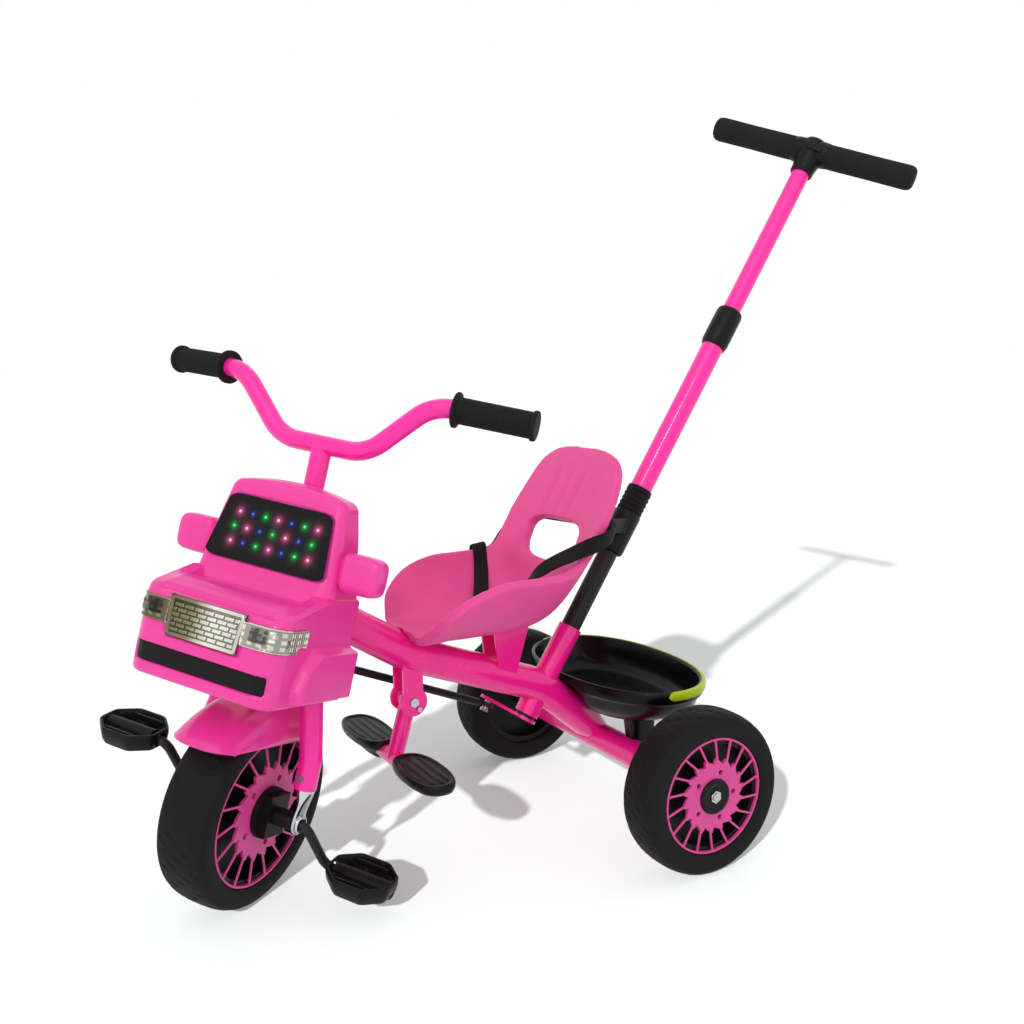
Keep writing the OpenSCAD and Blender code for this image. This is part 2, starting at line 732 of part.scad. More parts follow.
module mudguard() color("DeepPink") steered() difference() {
    union() {
        intersection() {
            along_x(-guard_w / 2, guard_w / 2, guard_r);
            translate([-guard_w, -2 * guard_r, guard_low_z]) cube([2 * guard_w, 2 * guard_r + guard_back, guard_r]);
        }
        cylinder(h = crown_z, r = steerer_r);
    }
    along_x(guard_wall - guard_w / 2, guard_w / 2 - guard_wall, guard_r - guard_wall);
    leg_tube();
}

module hood_plan(out) round_box(2 * (hood_half + out), -hood_front - out, -shell_wall,
    hood_corner_r + out, shell_wall);
module hood_slab(out, from, to) translate([0, 0, from]) linear_extrude(to - from) hood_plan(out);
module hood_side(drop) rotate([90, 0, 90]) translate([0, 0, -track / 2]) linear_extrude(track) polygon([
    [-hood_front - overrun, 0], [-hood_front - overrun, hood_nose_z - drop - overrun],
    [-hood_front, hood_nose_z - drop], [-cab_front, hood_top - drop], [overrun, hood_top - drop], [overrun, 0]]);
module cab_front_view(inset) rotate([90, 0, 0]) translate([0, 0, -overrun]) linear_extrude(hood_front + overrun)
    polygon([
        [inset - cab_half, hood_top - inset], [cab_half - inset, hood_top - inset],
        [roof_half - inset, roof_z - roof_chamfer], [roof_half - roof_chamfer - inset, roof_z - inset],
        [roof_chamfer + inset - roof_half, roof_z - inset], [inset - roof_half, roof_z - roof_chamfer]]);
module cab_side_view(inset) rotate([90, 0, 90]) translate([0, 0, -hood_half]) linear_extrude(2 * hood_half)
    polygon([
        [inset - cab_front, hood_top - inset], [inset - roof_front, roof_z - roof_chamfer],
        [inset - roof_front + roof_chamfer, roof_z - inset], [inset * overrun, roof_z - inset],
        [inset * overrun, hood_top - inset]]);
module cab_block(inset) intersection() {
    cab_front_view(inset);
    cab_side_view(inset);
}
module arch_block() translate([hood_half, 0, 0]) rotate([90, 0, 90]) linear_extrude(arch_out) polygon([
    [-shell_wall, arch_low], [-arch_l * 0.95, arch_low], [-arch_l, arch_low + arch_out],
    [-arch_l * 0.9, arch_high - arch_out * 1.5], [-arch_l * 0.74, arch_high], [-shell_wall, arch_high]]);
module bumper_zone(out, depth) intersection() {
    difference() {
        hood_slab(out, bumper_low, bumper_high);
        hood_slab(-depth, bumper_low - overrun, bumper_high + overrun);
    }
    translate([-bumper_half, -2 * hood_front, 0]) cube([2 * bumper_half, hood_front + hood_corner_r, roof_z]);
}
module truck_hood() color("HotPink") steered() difference() {
    union() {
        difference() {
            union() {
                intersection() {
                    hood_slab(0, hood_low, hood_top);
                    hood_side(0);
                }
                hood_slab(sill_out, hood_low, hood_low + sill_h);
            }
            intersection() {
                translate([0, overrun, 0]) hood_slab(-shell_wall, hood_low - overrun, hood_top);
                hood_side(shell_wall);
            }
            intersection() {
                hood_slab(-shell_wall, hood_low - overrun, hood_top);
                hood_side(shell_wall);
            }
            cab_block(shell_wall);
        }
        both() arch_block();
        translate([-leg_r, -hood_front + shell_wall / 2, crown_z + leg_r / 2])
            cube([2 * leg_r, hood_front - shell_wall, leg_r * 0.75]);
    }
    leg_tube();
    cylinder(h = head_low, r = steerer_r);
    bumper_zone(sill_out, bumper_t);
}
module truck_cab() color("HotPink") steered() difference() {
    intersection() {
        cab_block(0);
        translate([-track, -hood_front, hood_top]) cube([2 * track, hood_front, roof_z]);
    }
    cab_block(shell_wall);
    cylinder(h = bar_low_z, r = stem_r);
}
screen_lean = atan((cab_front - roof_front) / (roof_z - roof_chamfer - hood_top));
module on_screen() translate([0, -cab_front, hood_top]) rotate([-screen_lean, 0, 0]) children();
screen_foot = (screen_low - hood_top) / cos(screen_lean);
screen_head = (screen_high - hood_top) / cos(screen_lean);
screen_mid = (screen_foot + screen_head) / 2;
module windscreen() color("Black") steered() on_screen() rotate([90, 0, 0]) linear_extrude(screen_t) polygon([
    [-screen_half_low, screen_foot], [screen_half_low, screen_foot],
    [screen_half_high, screen_head], [-screen_half_high, screen_head]]);
module lights(letter) steered() on_screen() for (row = [0:len(light_rows) - 1])
    for (i = [0:len(light_rows[row]) - 1]) if (light_rows[row][i] == letter)
        translate([(i - 3 + (row - 1) * light_shift_share) * light_pitch, -screen_t,
            screen_mid + (1 - row) * light_row]) rotate([90, 0, 0]) cylinder(h = light_t, r = light_r, $fn = 24);
module lights_red() color("Crimson") lights("R");
module lights_green() color("LimeGreen") lights("G");
module lights_blue() color("RoyalBlue") lights("B");
grille_rows = 5;
grille_cols = 6;
grille_cell = 2 * grille_half / (grille_cols + 1);
grille_step = (hood_nose_z - grille_low) / (grille_rows + 1);
module grille() color("Gainsboro") steered() translate([0, -hood_front, 0]) rotate([90, 0, 0]) {
    linear_extrude(grille_t) polygon([
        [-grille_half * 0.93, grille_low], [grille_half * 0.93, grille_low],
        [grille_half, hood_nose_z - shell_wall], [-grille_half, hood_nose_z - shell_wall]]);
    for (row = [1:grille_rows]) for (i = [0:grille_cols - 1])
        translate([(i - grille_cols / 2 + 0.12 + 0.4 * (row % 2)) * grille_cell,
            grille_low + (row - 0.3) * grille_step, grille_t])
            cube([grille_cell * 0.72, grille_step * 0.5, lamp_t / 2]);
}
module headlights() color("Gainsboro") steered() intersection() {
    difference() {
        hood_slab(lamp_t, lamp_low, lamp_high);
        hood_slab(0, lamp_low - overrun, lamp_high + overrun);
        translate([-grille_half, -2 * hood_front, 0]) cube([2 * grille_half, 2 * hood_front, roof_z]);
    }
    translate([-track, -2 * hood_front, 0]) cube([2 * track, 2 * hood_front - lamp_back, roof_z]);
}
module bumper_strip() color("Black") steered() bumper_zone(0, bumper_t);
module mirrors() color("HotPink") steered() difference() {
    both() translate([roof_half, -roof_front - mirror_d * 0.2, mirror_z])
        cube([cab_half - roof_half + mirror_w, mirror_d, mirror_h]);
    cab_front_view(0);
}

bar_back = (bar_end_half - bar_high_half) * tan(bar_sweep);
bar_line = [
    [-bar_end_half, bar_back, bar_high_z], [-bar_high_half, 0, bar_high_z],
    [-bar_low_half, 0, bar_low_z], [bar_low_half, 0, bar_low_z], [bar_high_half, 0, bar_high_z],
    [bar_end_half, bar_back, bar_high_z]];
module bar_tube() bent_tube(bent(bar_line, bar_bend_r, bar_steps), bar_r);
module handlebar() color("DeepPink") steered() {
    bar_tube();
    translate([0, 0, steerer_top]) cylinder(h = bar_low_z - steerer_top, r = stem_r);
}
grip_dir = unit(bar_line[5] - bar_line[4]);
grip_start = bar_line[5] - grip_dir * grip_l;
grip_end = bar_line[5] + grip_dir * bolt_head_h;
module grips() color("Black") steered() difference() {
    both() {
        between(grip_start, grip_end, grip_r);
        between(grip_start, grip_start + grip_dir * bolt_head_h, grip_flange_r);
        between(grip_end - grip_dir * bolt_head_h, grip_end, grip_r * 1.12);
    }
    bar_tube();
}
module fork_arm() color("DimGray") steered() difference() {
    union() {
        translate([0, 0, fork_arm_z - arm_t]) linear_extrude(arm_t) {
            circle(r = steerer_r + arm_t);
            translate([-arm_l, -arm_w / 4]) square([arm_l, arm_w / 2]);
            translate([-arm_l, 0]) circle(r = arm_w / 3);
        }
        translate([-arm_l, 0, fork_arm_z - arm_t]) mirror([0, 0, 1]) cylinder(h = arm_t * 3.6, r = pin_r);
    }
    cylinder(h = head_low, r = steerer_r);
}

module front_spin() steered() rotate([0, 90, 0]) children();
module front_tyre() color("Black") front_spin() tyre(front_wheel_d, front_tyre_w, front_shoulder_r, front_disc_r);
module front_core() color("Black") front_spin() core(front_disc_r, front_core_half, front_hub_r, crank_r);
module front_discs() color("DeepPink") steered() both() translate([front_core_half, 0, 0]) rotate([0, 90, 0])
    disc(front_disc_r, crank_r);
hub_from = front_core_half + disc_t;
hub_to = drop_in - side_gap;
module front_hub() difference() {
    union() {
        along_x(hub_from, hub_from + hub_step, front_hub_r);
        translate([hub_from, -front_hub_r * 0.62, -front_hub_r * 0.8])
            cube([hub_step * 2.4, front_hub_r * 1.24, front_hub_r * 1.6]);
        along_x(hub_from, hub_to, sleeve_r);
    }
    along_x(0, track, crank_r);
}
module front_hubs() color("Black") steered() both() front_hub();
crank_arm = [0, crank_l * sin(crank_rest), -crank_l * cos(crank_rest)];
pedal_end = pedal_in + pedal_w - disc_t;
crank_boss = crank_r * 1.1;
crank_boss_r = crank_r * 1.35;
crank_elbow = pedal_in - crank_boss - 2 * side_gap;
module crank_side() {
    translate(crank_arm) along_x(crank_elbow - crank_boss, pedal_end, crank_r);
    translate(crank_arm) along_x(crank_elbow - crank_boss, crank_elbow + crank_boss, crank_boss_r);
    along_x(crank_bend - crank_boss, crank_bend + crank_boss, crank_boss_r);
    between([crank_bend, 0, 0], crank_arm + [crank_elbow, 0, 0], crank_r);
}
module crank() color("Black") steered() {
    along_x(-crank_bend, crank_bend, crank_r);
    crank_side();
    rotate([180, 0, 0]) mirror([1, 0, 0]) crank_side();
}
module pedal() difference() {
    translate([0, 0, -pedal_t / 2]) linear_extrude(pedal_t) difference() {
        polygon(pedal_outline);
        for (s = [-1, 1]) translate([pedal_w * 0.22, s * pedal_edge * 0.56 - pedal_edge * 0.2])
            square([pedal_w * 0.56, pedal_edge * 0.4]);
    }
    along_x(-overrun, pedal_w - disc_t + side_gap, crank_r + run_gap);
}
module pedal_left() color("Black") steered() translate([pedal_in, crank_arm[1], crank_arm[2]])
    rotate([fork_rake, 0, 0]) pedal();
module pedal_right() color("Black") steered() translate([-pedal_in, -crank_arm[1], -crank_arm[2]])
    rotate([fork_rake, 0, 0]) mirror([1, 0, 0]) pedal();

module rear_tyre(s) color("Black") wheel_at(s) tyre(rear_wheel_d, rear_tyre_w, rear_shoulder_r, rear_disc_r);
module rear_core(s) color("Black") wheel_at(s) difference() {
    union() {
        core(rear_disc_r, rear_core_half, rear_hub_r, axle_r + run_gap);
        translate([0, 0, rear_core_half]) cylinder(h = cap_out, r = cap_r);
    }
    translate([0, 0, -track / 2]) cylinder(h = track, r = axle_r + run_gap);
    translate([0, 0, rear_core_half + disc_t - side_gap]) cylinder(h = track, r = nut_r + side_gap);
}
module rear_disc(s) color("DeepPink") wheel_at(s) translate([0, 0, rear_core_half]) disc(rear_disc_r, cap_r);
module rear_tyre_left() rear_tyre(1);
module rear_core_left() rear_core(1);
module rear_disc_left() rear_disc(1);
module rear_tyre_right() rear_tyre(-1);
module rear_core_right() rear_core(-1);
module rear_disc_right() rear_disc(-1);

lower_from = collar_from + collar_l / 2;
shaft_from = lower_from + pole_travel + collar_l * 2;
lower_to = wrap_from + wrap_l / 2;
upper_to = shaft_from - pole_travel - upper_r;
shaft_to = socket_to + arm_t;
module pole_part(from, to, r) translate([0, 0, -to]) cylinder(h = to - from, r = r);
module pole_lower() color("DeepPink") turned() difference() {
    pole_part(lower_from, lower_to, lower_r);
    pole_part(lower_from - overrun, shaft_from, upper_r + run_gap);
    pole_part(shaft_from, lower_to + overrun, shaft_r);
}
module pole_shaft() color("Black") turned() difference() {
    pole_part(shaft_from, shaft_to, shaft_r);
    pole_part(shaft_from - overrun, shaft_to - arm_t, shaft_r - pole_wall);
}
module pole_collar() color("Black") turned() difference() {
    pole_part(collar_from, collar_from + collar_l, collar_r);
    pole_part(collar_from - overrun, lower_from, upper_r + run_gap);
    pole_part(lower_from, lower_to, lower_r);
}
module pole_wrap() color("Black") turned() difference() {
    pole_part(wrap_from, wrap_from + wrap_l, collar_r);
    pole_part(wrap_from - overrun, lower_to, lower_r);
    pole_part(lower_to, wrap_from + wrap_l + overrun, shaft_r);
}
module at_pin() turned() translate([-arm_l, 0, rod_pin_z]) rotate([0, -pin_lean, 0]) children();
module pole_arm() color("DeepPink") difference() {
    turned() translate([0, 0, -shaft_to - arm_t]) linear_extrude(arm_t) {
        circle(r = socket_r);
        translate([-arm_l, -arm_w / 2]) square([arm_l, arm_w]);
        translate([-arm_l, 0]) circle(r = arm_w / 2);
    }
    at_pin() translate([0, 0, -overrun]) cylinder(h = 3 * overrun, r = pin_r);
}
module arm_bolt() color("Silver") difference() {
    at_pin() {
        translate([0, 0, -eye_t]) cylinder(h = eye_t + arm_t * 4, r = pin_r);
        translate([0, 0, -eye_t - bolt_head_h]) cylinder(h = bolt_head_h, r = bolt_head_r, $fn = 6);
    }
    turned() translate([-arm_l, 0, overrun - shaft_to]) cube(2 * overrun, center = true);
}
module pole_upper() color("DeepPink") turned() difference() {
    pole_part(upper_r + side_gap, upper_to, upper_r);
    pole_part(upper_r + side_gap + pole_wall, upper_to + overrun, upper_r - pole_wall);
}
module tee_handle() color("Black") turned() difference() {
    union() {
        translate([0, 0, -foam_r * 2.2]) cylinder(h = foam_r * 3.3, r = foam_r * 1.15);
        along_x(-tee_half, tee_half, tee_bar_r);
    }
    pole_part(upper_r + side_gap, upper_to, upper_r);
}
module foam_grips() color("Black") turned() difference() {
    both() along_x(foam_r * 1.15, tee_half, foam_r);
    along_x(-tee_half - overrun, tee_half + overrun, tee_bar_r);
}

pole_pin = [-arm_l * cos(steer_rest), -arm_l * sin(steer_rest), rod_pin_z];
fork_pin = [-arm_l * cos(steer_rest), -arm_l * sin(steer_rest), fork_arm_z - arm_t * 3];
function from_pole(p) = [
    p[0], tee_y + p[1] * cos(pole_tilt) + p[2] * sin(pole_tilt),
    tee_z - p[1] * sin(pole_tilt) + p[2] * cos(pole_tilt)];
function from_head(p) = [
    p[0], p[1] * cos(fork_rake) + p[2] * sin(fork_rake) - wheelbase,
    front_axle_z - p[1] * sin(fork_rake) + p[2] * cos(fork_rake)];
rod_rear = from_pole(pole_pin);
rod_front = from_head(fork_pin);
module steering_rod() color("Black") difference() {
    union() {
        placed() between(rod_rear, rod_front, rod_r);
        at_pin() translate([0, 0, -eye_t / 2]) cylinder(h = eye_t, r = eye_r);
        on_head() translate([fork_pin[0], fork_pin[1], fork_pin[2] - rod_r]) cylinder(h = 2 * rod_r, r = wide_eye_r + arm_t);
    }
    at_pin() translate([0, 0, -overrun]) cylinder(h = overrun - eye_t / 2, r = eye_r + arm_t);
    at_pin() translate([0, 0, eye_t / 2]) cylinder(h = overrun, r = eye_r + arm_t);
    at_pin() translate([0, 0, -overrun]) cylinder(h = 2 * overrun, r = pin_r + run_gap);
    on_head() translate([fork_pin[0], fork_pin[1], fork_pin[2] - overrun]) cylinder(h = 2 * overrun, r = wide_eye_r);
}

foot_bar_y = foot_l * sin(foot_lean);
foot_bar_z = foot_l * cos(foot_lean);
module at_foot() placed() translate([0, -foot_y, foot_z]) children();
module at_foot_bar() at_foot() translate([0, -foot_bar_y, -foot_bar_z]) children();
module footrest_leg() color("DeepPink") difference() {
    union() {
        at_foot() rotate([-foot_lean, 0, 0]) translate([0, 0, -foot_l]) cylinder(h = foot_l, r = foot_leg_r);
        at_foot() along_x(side_gap - cheek_in, cheek_in - side_gap, foot_leg_r * 1.2);
        at_foot_bar() along_x(-foot_bar_half, foot_bar_half, foot_bar_r);
    }
    at_foot() along_x(-track, track, bolt_r + run_gap);
}
module pad() difference() {
    union() {
        translate([pad_in + pad_w / 2, 0, foot_bar_r + pad_t / 2]) linear_extrude(pad_t) {
            circle(r = pad_w / 2);
            translate([0, -pad_w / 2]) square([pad_l - pad_w, pad_w]);
            translate([pad_l - pad_w, 0]) circle(r = pad_w / 2);
        }
        along_x(pad_in + pad_t, pad_in + pad_l * 0.62, foot_bar_r + pad_t / 2);
        translate([pad_in + pad_t, -foot_bar_r, 0])
            cube([pad_l * 0.62 - pad_t, 2 * foot_bar_r, foot_bar_r + pad_t]);
    }
    along_x(-track, foot_bar_half, foot_bar_r);
}
module footrest_pads() color("Black") at_foot_bar() both() pad();

main_tube();
head_tube();
headset_bushes();
axle_tube();
rear_axle();
axle_nuts();
pole_socket();
seat_bracket();
seat_shell();
seat_bolts();
harness_straps();
harness_buckle();
basket();
basket_strip();
basket_screws();
footrest_bracket();
footrest_bolts();
fork();
fork_dropouts();
dropout_screws();
mudguard();
truck_hood();
truck_cab();
windscreen();
lights_red();
lights_green();
lights_blue();
grille();
headlights();
bumper_strip();
mirrors();
handlebar();
grips();
fork_arm();
front_tyre();
front_core();
front_discs();
front_hubs();
crank();
pedal_left();
pedal_right();
rear_tyre_left();
rear_core_left();
rear_disc_left();
rear_tyre_right();
rear_core_right();
rear_disc_right();
pole_lower();
pole_shaft();
pole_collar();
pole_wrap();
pole_arm();
arm_bolt();
pole_upper();
tee_handle();
foam_grips();
steering_rod();
footrest_leg();
footrest_pads();
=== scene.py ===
"""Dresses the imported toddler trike: camera, light, materials and its moulded, bent and sewn pieces."""
import json
import math

import bmesh
import bpy
import numpy as np
from mathutils import Matrix, Vector


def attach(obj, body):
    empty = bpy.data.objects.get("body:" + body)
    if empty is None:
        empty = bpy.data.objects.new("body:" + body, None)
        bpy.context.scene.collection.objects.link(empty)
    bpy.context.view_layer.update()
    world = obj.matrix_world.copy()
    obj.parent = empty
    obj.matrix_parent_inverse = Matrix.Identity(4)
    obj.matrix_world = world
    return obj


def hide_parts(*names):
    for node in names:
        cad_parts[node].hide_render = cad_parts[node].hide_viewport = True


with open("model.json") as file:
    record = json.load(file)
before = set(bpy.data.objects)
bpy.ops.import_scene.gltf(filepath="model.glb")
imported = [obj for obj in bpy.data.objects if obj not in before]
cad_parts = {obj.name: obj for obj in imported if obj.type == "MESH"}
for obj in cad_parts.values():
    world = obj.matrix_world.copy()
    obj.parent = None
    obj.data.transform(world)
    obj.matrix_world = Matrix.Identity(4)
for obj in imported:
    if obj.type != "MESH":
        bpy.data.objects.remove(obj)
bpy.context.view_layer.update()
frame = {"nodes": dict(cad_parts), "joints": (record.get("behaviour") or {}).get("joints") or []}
nodes = frame["nodes"]
joints = {j["name"]: j for j in frame["joints"]}
MM = 0.001
MERGE = MM / 100
SIDES = (("left", 1), ("right", -1))

# Places: matrices from millimetres along local axes to metres in the shared frame.


def placed(origin, x, z):
    """Millimetres along x, z cross x and z, counted from origin."""
    x, z = Vector(x).normalized(), Vector(z).normalized()
    turn = Matrix((x, z.cross(x), z)).transposed().to_4x4()
    return Matrix.Translation(origin) @ turn @ Matrix.Scale(MM, 4)


def facing(sign):
    """Turn that lays z along x, to the left for 1 and to the right for -1."""
    return Matrix.Rotation(sign * math.pi / 2, 4, "Y")


# HEAD counts from the front axle: x to the left, y back, z up the steering axis.
# REAR counts from the ground below the rear axle, and POLE from the middle of the T, z up the pole.
STEER = joints["steering"]
FRONT_SPIN = joints["front_wheel_spin"]
POLE_TURN = joints["pole_turn"]
REST_TURN = -math.radians(sum(STEER["range_deg"]) / 2)
HEAD = placed(FRONT_SPIN["pos_m"], FRONT_SPIN["axis"], STEER["axis"])
REAR = placed((0, joints["rear_left_spin"]["pos_m"][1], 0), (1, 0, 0), (0, 0, 1))
POLE_JOINT_DOWN = 500
POLE_AXIS = Vector(POLE_TURN["axis"])
POLE_X = Matrix.Rotation(REST_TURN, 3, POLE_AXIS) @ Vector((1, 0, 0))
POLE = placed(Vector(POLE_TURN["pos_m"]) + POLE_AXIS * POLE_JOINT_DOWN * MM, POLE_X, POLE_AXIS)

# Camera, as solved from the photograph, in millimetres of REAR.
CAMERA_FROM = Vector((1172.2, -802.0, 630.1))
CAMERA_TO = Vector((0, -130.6, 421.8))
CAMERA_ROLL = math.radians(-1.0)
FOCAL_PIXELS = 1077.1
PICTURE = 1024
SENSOR = 36.0


def in_scene(name, data):
    """A new object in the scene."""
    obj = bpy.data.objects.new(name, data)
    bpy.context.scene.collection.objects.link(obj)
    return obj


def make_camera():
    back = (CAMERA_FROM - CAMERA_TO).normalized()
    right = Vector((0, 0, 1)).cross(back).normalized()
    up = back.cross(right)
    c, s = math.cos(CAMERA_ROLL), math.sin(CAMERA_ROLL)
    axes = Matrix((right * c + up * s, up * c - right * s, back)).transposed().to_4x4()
    data = bpy.data.cameras.new("camera")
    data.sensor_width = SENSOR
    data.lens = SENSOR * FOCAL_PIXELS / PICTURE
    camera = in_scene("camera", data)
    camera.matrix_world = Matrix.Translation(REAR @ CAMERA_FROM) @ axes
    bpy.context.scene.camera = camera


# Numbers and lines.


def mix(low, high, share):
    return low + (high - low) * share


def smooth_step(low, high, x):
    t = np.clip((np.asarray(x, float) - low) / (high - low), 0, 1)
    return t * t * (3 - 2 * t)


def signed_power(value, power):
    return math.copysign(abs(value) ** power, value)


def full_turn(count):
    return np.linspace(0, 2 * math.pi, count, endpoint=False)


def quarter_turn(count):
    """Angles of a quarter turn, without its start."""
    return np.radians(np.linspace(0, 90, count)[1:])


def points(x, y, z):
    """Points from arrays or single numbers."""
    return np.stack(np.broadcast_arrays(x, y, z), -1).astype(float)


def spline(knots, count):
    """Smooth curve through knots, any number of values each."""
    k = np.asarray(knots, float)
    k = np.vstack([2 * k[0] - k[1], k, 2 * k[-1] - k[-2]])
    out = []
    for x in np.linspace(0, len(knots) - 1, count):
        i = min(int(x), len(knots) - 2)
        t = x - i
        a, b, c, d = k[i:i + 4]
        square = 2 * a - 5 * b + 4 * c - d
        cube = 3 * b - a - 3 * c + d
        out.append(0.5 * (2 * b + (c - a) * t + square * t * t + cube * t ** 3))
    return np.array(out)


def eased(corners, bend, steps=10):
    """Line with every inner corner turned into an arc of radius bend."""
    corners = [Vector(p) for p in corners]
    path = [corners[0]]
    for a, b, c in zip(corners, corners[1:], corners[2:]):
        d1, d2 = (b - a).normalized(), (c - b).normalized()
        turn = d1.angle(d2)
        inward = (d2 - d1 * d1.dot(d2)).normalized()
        start = b - d1 * bend * math.tan(turn / 2)
        for t in np.linspace(0, turn, steps + 1):
            path.append(start + d1 * bend * math.sin(t) + inward * bend * (1 - math.cos(t)))
    return path + [corners[-1]]


def both_ways(half):
    """The mirror image of a line across x = 0, and then the line."""
    return [(-x, y, z) for x, y, z in half[::-1]] + list(half)


def oval(half_x, half_y, power, sides, centre=(0, 0), z=0):
    """Superellipse ring."""
    return [(centre[0] + half_x * signed_power(math.cos(a), 2 / power),
             centre[1] + half_y * signed_power(math.sin(a), 2 / power), z) for a in full_turn(sides)]


# Shapes: a shape is (points, faces).


def loft(rings, closed=True, caps=True):
    """Skin over rings of equal point counts."""
    rows, cols = len(rings), len(rings[0])
    faces = []
    for r in range(rows - 1):
        for c in range(cols if closed else cols - 1):
            d = (c + 1) % cols
            faces.append((r * cols + c, r * cols + d, (r + 1) * cols + d, (r + 1) * cols + c))
    if caps:
        faces += [tuple(range(cols))[::-1], tuple((rows - 1) * cols + i for i in range(cols))]
    return np.concatenate([np.asarray(r, float) for r in rings]), faces


def sheet(rings):
    """Open skin over rows of points."""
    return loft(rings, closed=False, caps=False)


def merged(*shapes):
    spots, faces, start = [], [], 0
    for p, f in shapes:
        spots.append(np.asarray(p, float))
        faces += [tuple(i + start for i in face) for face in f]
        start += len(p)
    return np.concatenate(spots), faces


def flipped(shape):
    """The mirror image across x = 0."""
    return np.asarray(shape[0], float) * (-1, 1, 1), [face[::-1] for face in shape[1]]


def mirrored(shape):
    """The shape and its mirror image."""
    return merged(shape, flipped(shape))


def moved(shape, matrix):
    return np.array([matrix @ Vector(p) for p in shape[0]]), shape[1]


def lathe(profile, sides=72):
    """Profile of (radius, height) pairs turned about z."""
    angles = full_turn(sides)
    return loft([points(r * np.cos(angles), r * np.sin(angles), z) for r, z in profile], caps=False)


def rod(radius, low, high, sides=40):
    """Closed round bar along z with softened ends."""
    soft = min(1.0, radius / 4)
    flat = radius - soft
    profile = [(0, low), (flat, low), (radius, low + soft)]
    profile += [(radius, high - soft), (flat, high), (0, high)]
    return lathe(profile, sides)


def ovals(half_x, half_y, power, sides, centre, steps):
    """Skin over ovals of one middle, from steps of height and scale."""
    return loft([oval(half_x * k, half_y * k, power, sides, centre, z) for z, k in steps])


def sweep(path, radii, sides=32):
    """Tube along a path; radii is one radius or one per point."""
    path = [Vector(p) for p in path]
    radii = [radii] * len(path) if np.isscalar(radii) else radii
    ahead = [(b - a).normalized() for a, b in zip(path, path[1:])]
    tangents = [ahead[0]] + [(a + b).normalized() for a, b in zip(ahead, ahead[1:])] + [ahead[-1]]
    side = tangents[0].orthogonal().normalized()
    rings = []
    for p, t, r in zip(path, tangents, radii):
        side = (side - t * side.dot(t)).normalized()
        other = t.cross(side)
        rings.append([p + (side * math.cos(a) + other * math.sin(a)) * r for a in full_turn(sides)])
    return loft(rings)


# Objects.


def mesh_of(name, shape, place, merge):
    """Mesh of a shape with its faces turned outwards and, where asked, its doubled points merged."""
    mesh = bpy.data.meshes.new(name)
    mesh.from_pydata([place @ Vector(p) for p in shape[0]], [], shape[1])
    work = bmesh.new()
    work.from_mesh(mesh)
    if merge:
        bmesh.ops.remove_doubles(work, verts=work.verts, dist=MERGE)
    bmesh.ops.recalc_face_normals(work, faces=work.faces)
    work.to_mesh(mesh)
    work.free()
    return mesh


def piece(name, shape, place, finish, body, *replaced, crease=40):
    """A mesh object from a shape, riding on a body and standing for CAD nodes."""
    mesh = mesh_of(name, shape, place, True)
    mesh.shade_smooth()
    mesh.materials.append(M[finish])
    obj = in_scene(name, mesh)
    sharpen(obj, crease)
    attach(obj, body)
    if replaced:
        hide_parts(*replaced)
    return obj


def sharpen(obj, degrees):
    """Keeps the edges sharp that bend more than this."""
    obj.data.set_sharp_from_angle(angle=math.radians(degrees))


def applied(obj):
    """Bakes an object's modifiers into its mesh."""
    graph = bpy.context.evaluated_depsgraph_get()
    mesh = bpy.data.meshes.new_from_object(obj.evaluated_get(graph))
    obj.modifiers.clear()
    obj.data = mesh
    mesh.shade_smooth()


def cut(obj, shape, place):
    """Subtracts a closed shape from an object."""
    cutter = in_scene("cutter", mesh_of("cutter", shape, place, False))
    obj.modifiers.new("cut", "BOOLEAN").object = cutter
    applied(obj)
    bpy.data.objects.remove(cutter)


def thicken(obj, wall, offset=-1):
    """Gives a sheet a wall, on its inner side for an offset of -1."""
    solid = obj.modifiers.new("wall", "SOLIDIFY")
    solid.thickness = wall * MM
    solid.offset = offset


def reskin(obj, voxel):
    """Turns a piece into one even closed skin."""
    remesh = obj.modifiers.new("skin", "REMESH")
    remesh.mode = "VOXEL"
    remesh.voxel_size = voxel * MM
    applied(obj)


# Materials, from colours in sRGB of 0 to 255.
CLOUD_DETAIL = 3.0
CLOUD_ENDS = (0.35, 0.65)
COAT_ROUGH = 0.08


def linear(value):
    """Linear value of an sRGB value in 0 to 255."""
    return value / 255 / 12.92 if value < 11 else ((value / 255 + 0.055) / 1.055) ** 2.4


def srgb(colour):
    return tuple(linear(value) for value in colour) + (1.0,)


def set_inputs(node, *values):
    """Sets input sockets from pairs of name and value."""
    for name, value in values:
        node.inputs[name].default_value = value
    return node


def new_node(tree, kind, *values):
    return set_inputs(tree.nodes.new(kind), *values)


def wire(tree, *rows):
    """Joins sockets, from rows of node, output, node and input."""
    for source, output, target, entry in rows:
        tree.links.new(source.outputs[output], target.inputs[entry])


